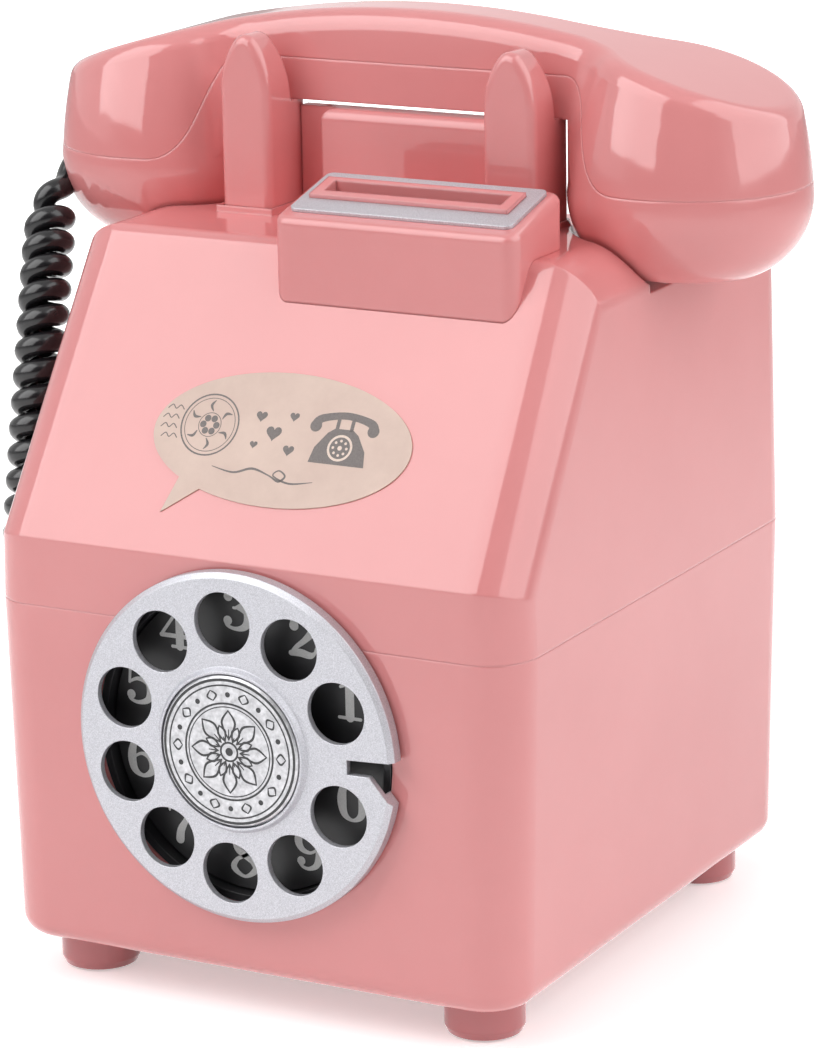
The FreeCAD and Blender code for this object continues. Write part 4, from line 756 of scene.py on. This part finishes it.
def make_label_print(material, faint):
    """Small plain motifs: a flower with waves, a desk telephone, hearts and a flourish."""
    marks = Print("label_print", on_slope(LABEL_PRINT_HEIGHT))
    pale = Print("label_print_pale", on_slope(PALE_PRINT_HEIGHT))
    print_flower(marks)
    print_telephone(marks, pale)
    for x, y, size in HEARTS:
        marks.area(heart(x, y, size))
    marks.line(FLOURISH)
    marks.finished("casing", material)
    pale.finished("casing", faint)


# Floor, light and backdrop

RANGE_KEYS = ("From Min", "From Max", "To Min", "To Max")


def seen_rays(nodes, links):
    """1 for rays that show the surroundings: to the camera, in reflections and through clear things."""
    rays = nodes.new("ShaderNodeLightPath")
    total = rays.outputs["Is Camera Ray"]
    for kind in ("Is Glossy Ray", "Is Transmission Ray"):
        either = add(nodes, "ShaderNodeMath", operation="MAXIMUM")
        links.new(total, either.inputs[0])
        links.new(rays.outputs[kind], either.inputs[1])
        total = either.outputs[0]
    return total


def glow_by_distance(nodes, links, near_and_far):
    """Emission that changes with the distance from the middle of the floor."""
    place = nodes.new("ShaderNodeTexCoord").outputs["Object"]
    far = add(nodes, "ShaderNodeVectorMath", operation="LENGTH")
    links.new(place, far.inputs[0])
    scale = nodes.new("ShaderNodeMapRange")
    scale.interpolation_type = "SMOOTHSTEP"
    for key, value in zip(RANGE_KEYS, (*GLOW_RADII, *near_and_far)):
        scale.inputs[key].default_value = value
    links.new(far.outputs["Value"], scale.inputs["Value"])
    glow = add(nodes, "ShaderNodeEmission", Color=(1, 1, 1, 1))
    links.new(scale.outputs["Result"], glow.inputs["Strength"])
    return glow.outputs[0]


def make_stage():
    """A white floor that takes shadows, with a glow of its own where it is seen or mirrored."""
    mesh = bmesh.new()
    bmesh.ops.create_grid(mesh, x_segments=1, y_segments=1, size=8.0)
    floor = mesh_object("floor", mesh, smooth=False)
    material, nodes, links, bsdf = new_material("floor")
    place = nodes.new("ShaderNodeTexCoord").outputs["Object"]
    dust = noise(nodes, links, place, scale=9.0, detail=4.0)
    links.new(ramp(nodes, links, dust, 0.3, 0.7, (0.90, 0.90, 0.90), (0.93, 0.93, 0.93)),
              bsdf.inputs["Base Color"])
    bsdf.inputs["Roughness"].default_value = 0.7
    bsdf.inputs["Specular IOR Level"].default_value = 0.2
    rays = nodes.new("ShaderNodeLightPath")
    glossy = nodes.new("ShaderNodeMixShader")
    links.new(rays.outputs["Is Glossy Ray"], glossy.inputs["Fac"])
    links.new(glow_by_distance(nodes, links, CAMERA_GLOW), glossy.inputs[1])
    links.new(glow_by_distance(nodes, links, GLOSSY_GLOW), glossy.inputs[2])
    both = nodes.new("ShaderNodeAddShader")
    mix = nodes.new("ShaderNodeMixShader")
    links.new(bsdf.outputs[0], both.inputs[0])
    links.new(glossy.outputs[0], both.inputs[1])
    links.new(seen_rays(nodes, links), mix.inputs["Fac"])
    links.new(bsdf.outputs[0], mix.inputs[1])
    links.new(both.outputs[0], mix.inputs[2])
    links.new(mix.outputs[0], nodes["Material Output"].inputs["Surface"])
    floor.data.materials.append(material)


def area_lamp(name, heading, elevation, distance, width, height, radiance):
    """A soft box that faces the part; heading is in degrees from the front towards the right."""
    turn = math.radians(heading)
    rise = math.radians(elevation)
    away = Vector((math.sin(turn) * math.cos(rise), -math.cos(turn) * math.cos(rise), math.sin(rise)))
    data = bpy.data.lights.new(name, "AREA")
    data.shape = "RECTANGLE"
    data.size = width
    data.size_y = height
    data.energy = radiance * math.pi * width * height
    lamp = bpy.data.objects.new(name, data)
    bpy.context.collection.objects.link(lamp)
    facing = away.to_track_quat("Z", "Y").to_matrix().to_4x4()
    lamp.matrix_world = Matrix.Translation(LAMP_TARGET + away * distance) @ facing
    return lamp


def make_lights():
    """Boxes that only light the part, and windows that only show in it."""
    for values in LAMPS:
        area_lamp(*values).visible_glossy = False
    for values in WINDOWS:
        area_lamp(*values).visible_diffuse = False


def room_by_direction(nodes, links):
    """White all round, but dark towards the front of the room."""
    turn = math.radians(ROOM_HEADING)
    direction = nodes.new("ShaderNodeTexCoord").outputs["Generated"]
    towards = add(nodes, "ShaderNodeVectorMath", operation="DOT_PRODUCT")
    links.new(direction, towards.inputs[0])
    towards.inputs[1].default_value = (math.sin(turn), -math.cos(turn), 0.0)
    scale = nodes.new("ShaderNodeMapRange")
    scale.interpolation_type = "SMOOTHSTEP"
    for key, value in zip(RANGE_KEYS, (*ROOM_EDGES, 1.0, ROOM_STRENGTH)):
        scale.inputs[key].default_value = value
    links.new(towards.outputs["Value"], scale.inputs["Value"])
    return scale.outputs["Result"]


def make_world():
    """White for the camera, the room in reflections, and a plain even light for the rest."""
    world = bpy.data.worlds.new("studio")
    world.use_nodes = True
    bpy.context.scene.world = world
    nodes = world.node_tree.nodes
    links = world.node_tree.links
    background = nodes["Background"]
    seen = add(nodes, "ShaderNodeBackground", Color=(1, 1, 1, 1), Strength=1.0)
    background.inputs["Color"].default_value = (1, 1, 1, 1)
    background.inputs["Strength"].default_value = WORLD_LIGHT
    reflected = add(nodes, "ShaderNodeBackground", Color=(1, 1, 1, 1))
    links.new(room_by_direction(nodes, links), reflected.inputs["Strength"])
    rays = nodes.new("ShaderNodeLightPath")
    shown = nodes.new("ShaderNodeMixShader")
    links.new(rays.outputs["Is Glossy Ray"], shown.inputs["Fac"])
    links.new(seen.outputs[0], shown.inputs[1])
    links.new(reflected.outputs[0], shown.inputs[2])
    mix = nodes.new("ShaderNodeMixShader")
    links.new(seen_rays(nodes, links), mix.inputs["Fac"])
    links.new(background.outputs[0], mix.inputs[1])
    links.new(shown.outputs[0], mix.inputs[2])
    links.new(mix.outputs[0], nodes["World Output"].inputs["Surface"])


make_camera()
make_cord()
dress_frame()
make_numerals(ink("numeral_ink", (0.58, 0.58, 0.57), (0.68, 0.68, 0.67), 0.4))
make_badge_lines(ink("engraving_paint", (0.020, 0.020, 0.022), (0.035, 0.035, 0.038), 0.35))
make_label_print(ink("label_ink", linear(84, 76, 74), linear(104, 95, 92), 0.45),
                 ink("label_pale_ink", linear(206, 184, 170), linear(220, 200, 186), 0.45))
make_stage()
make_lights()
make_world()
bpy.context.scene.view_settings.view_transform = "Standard"
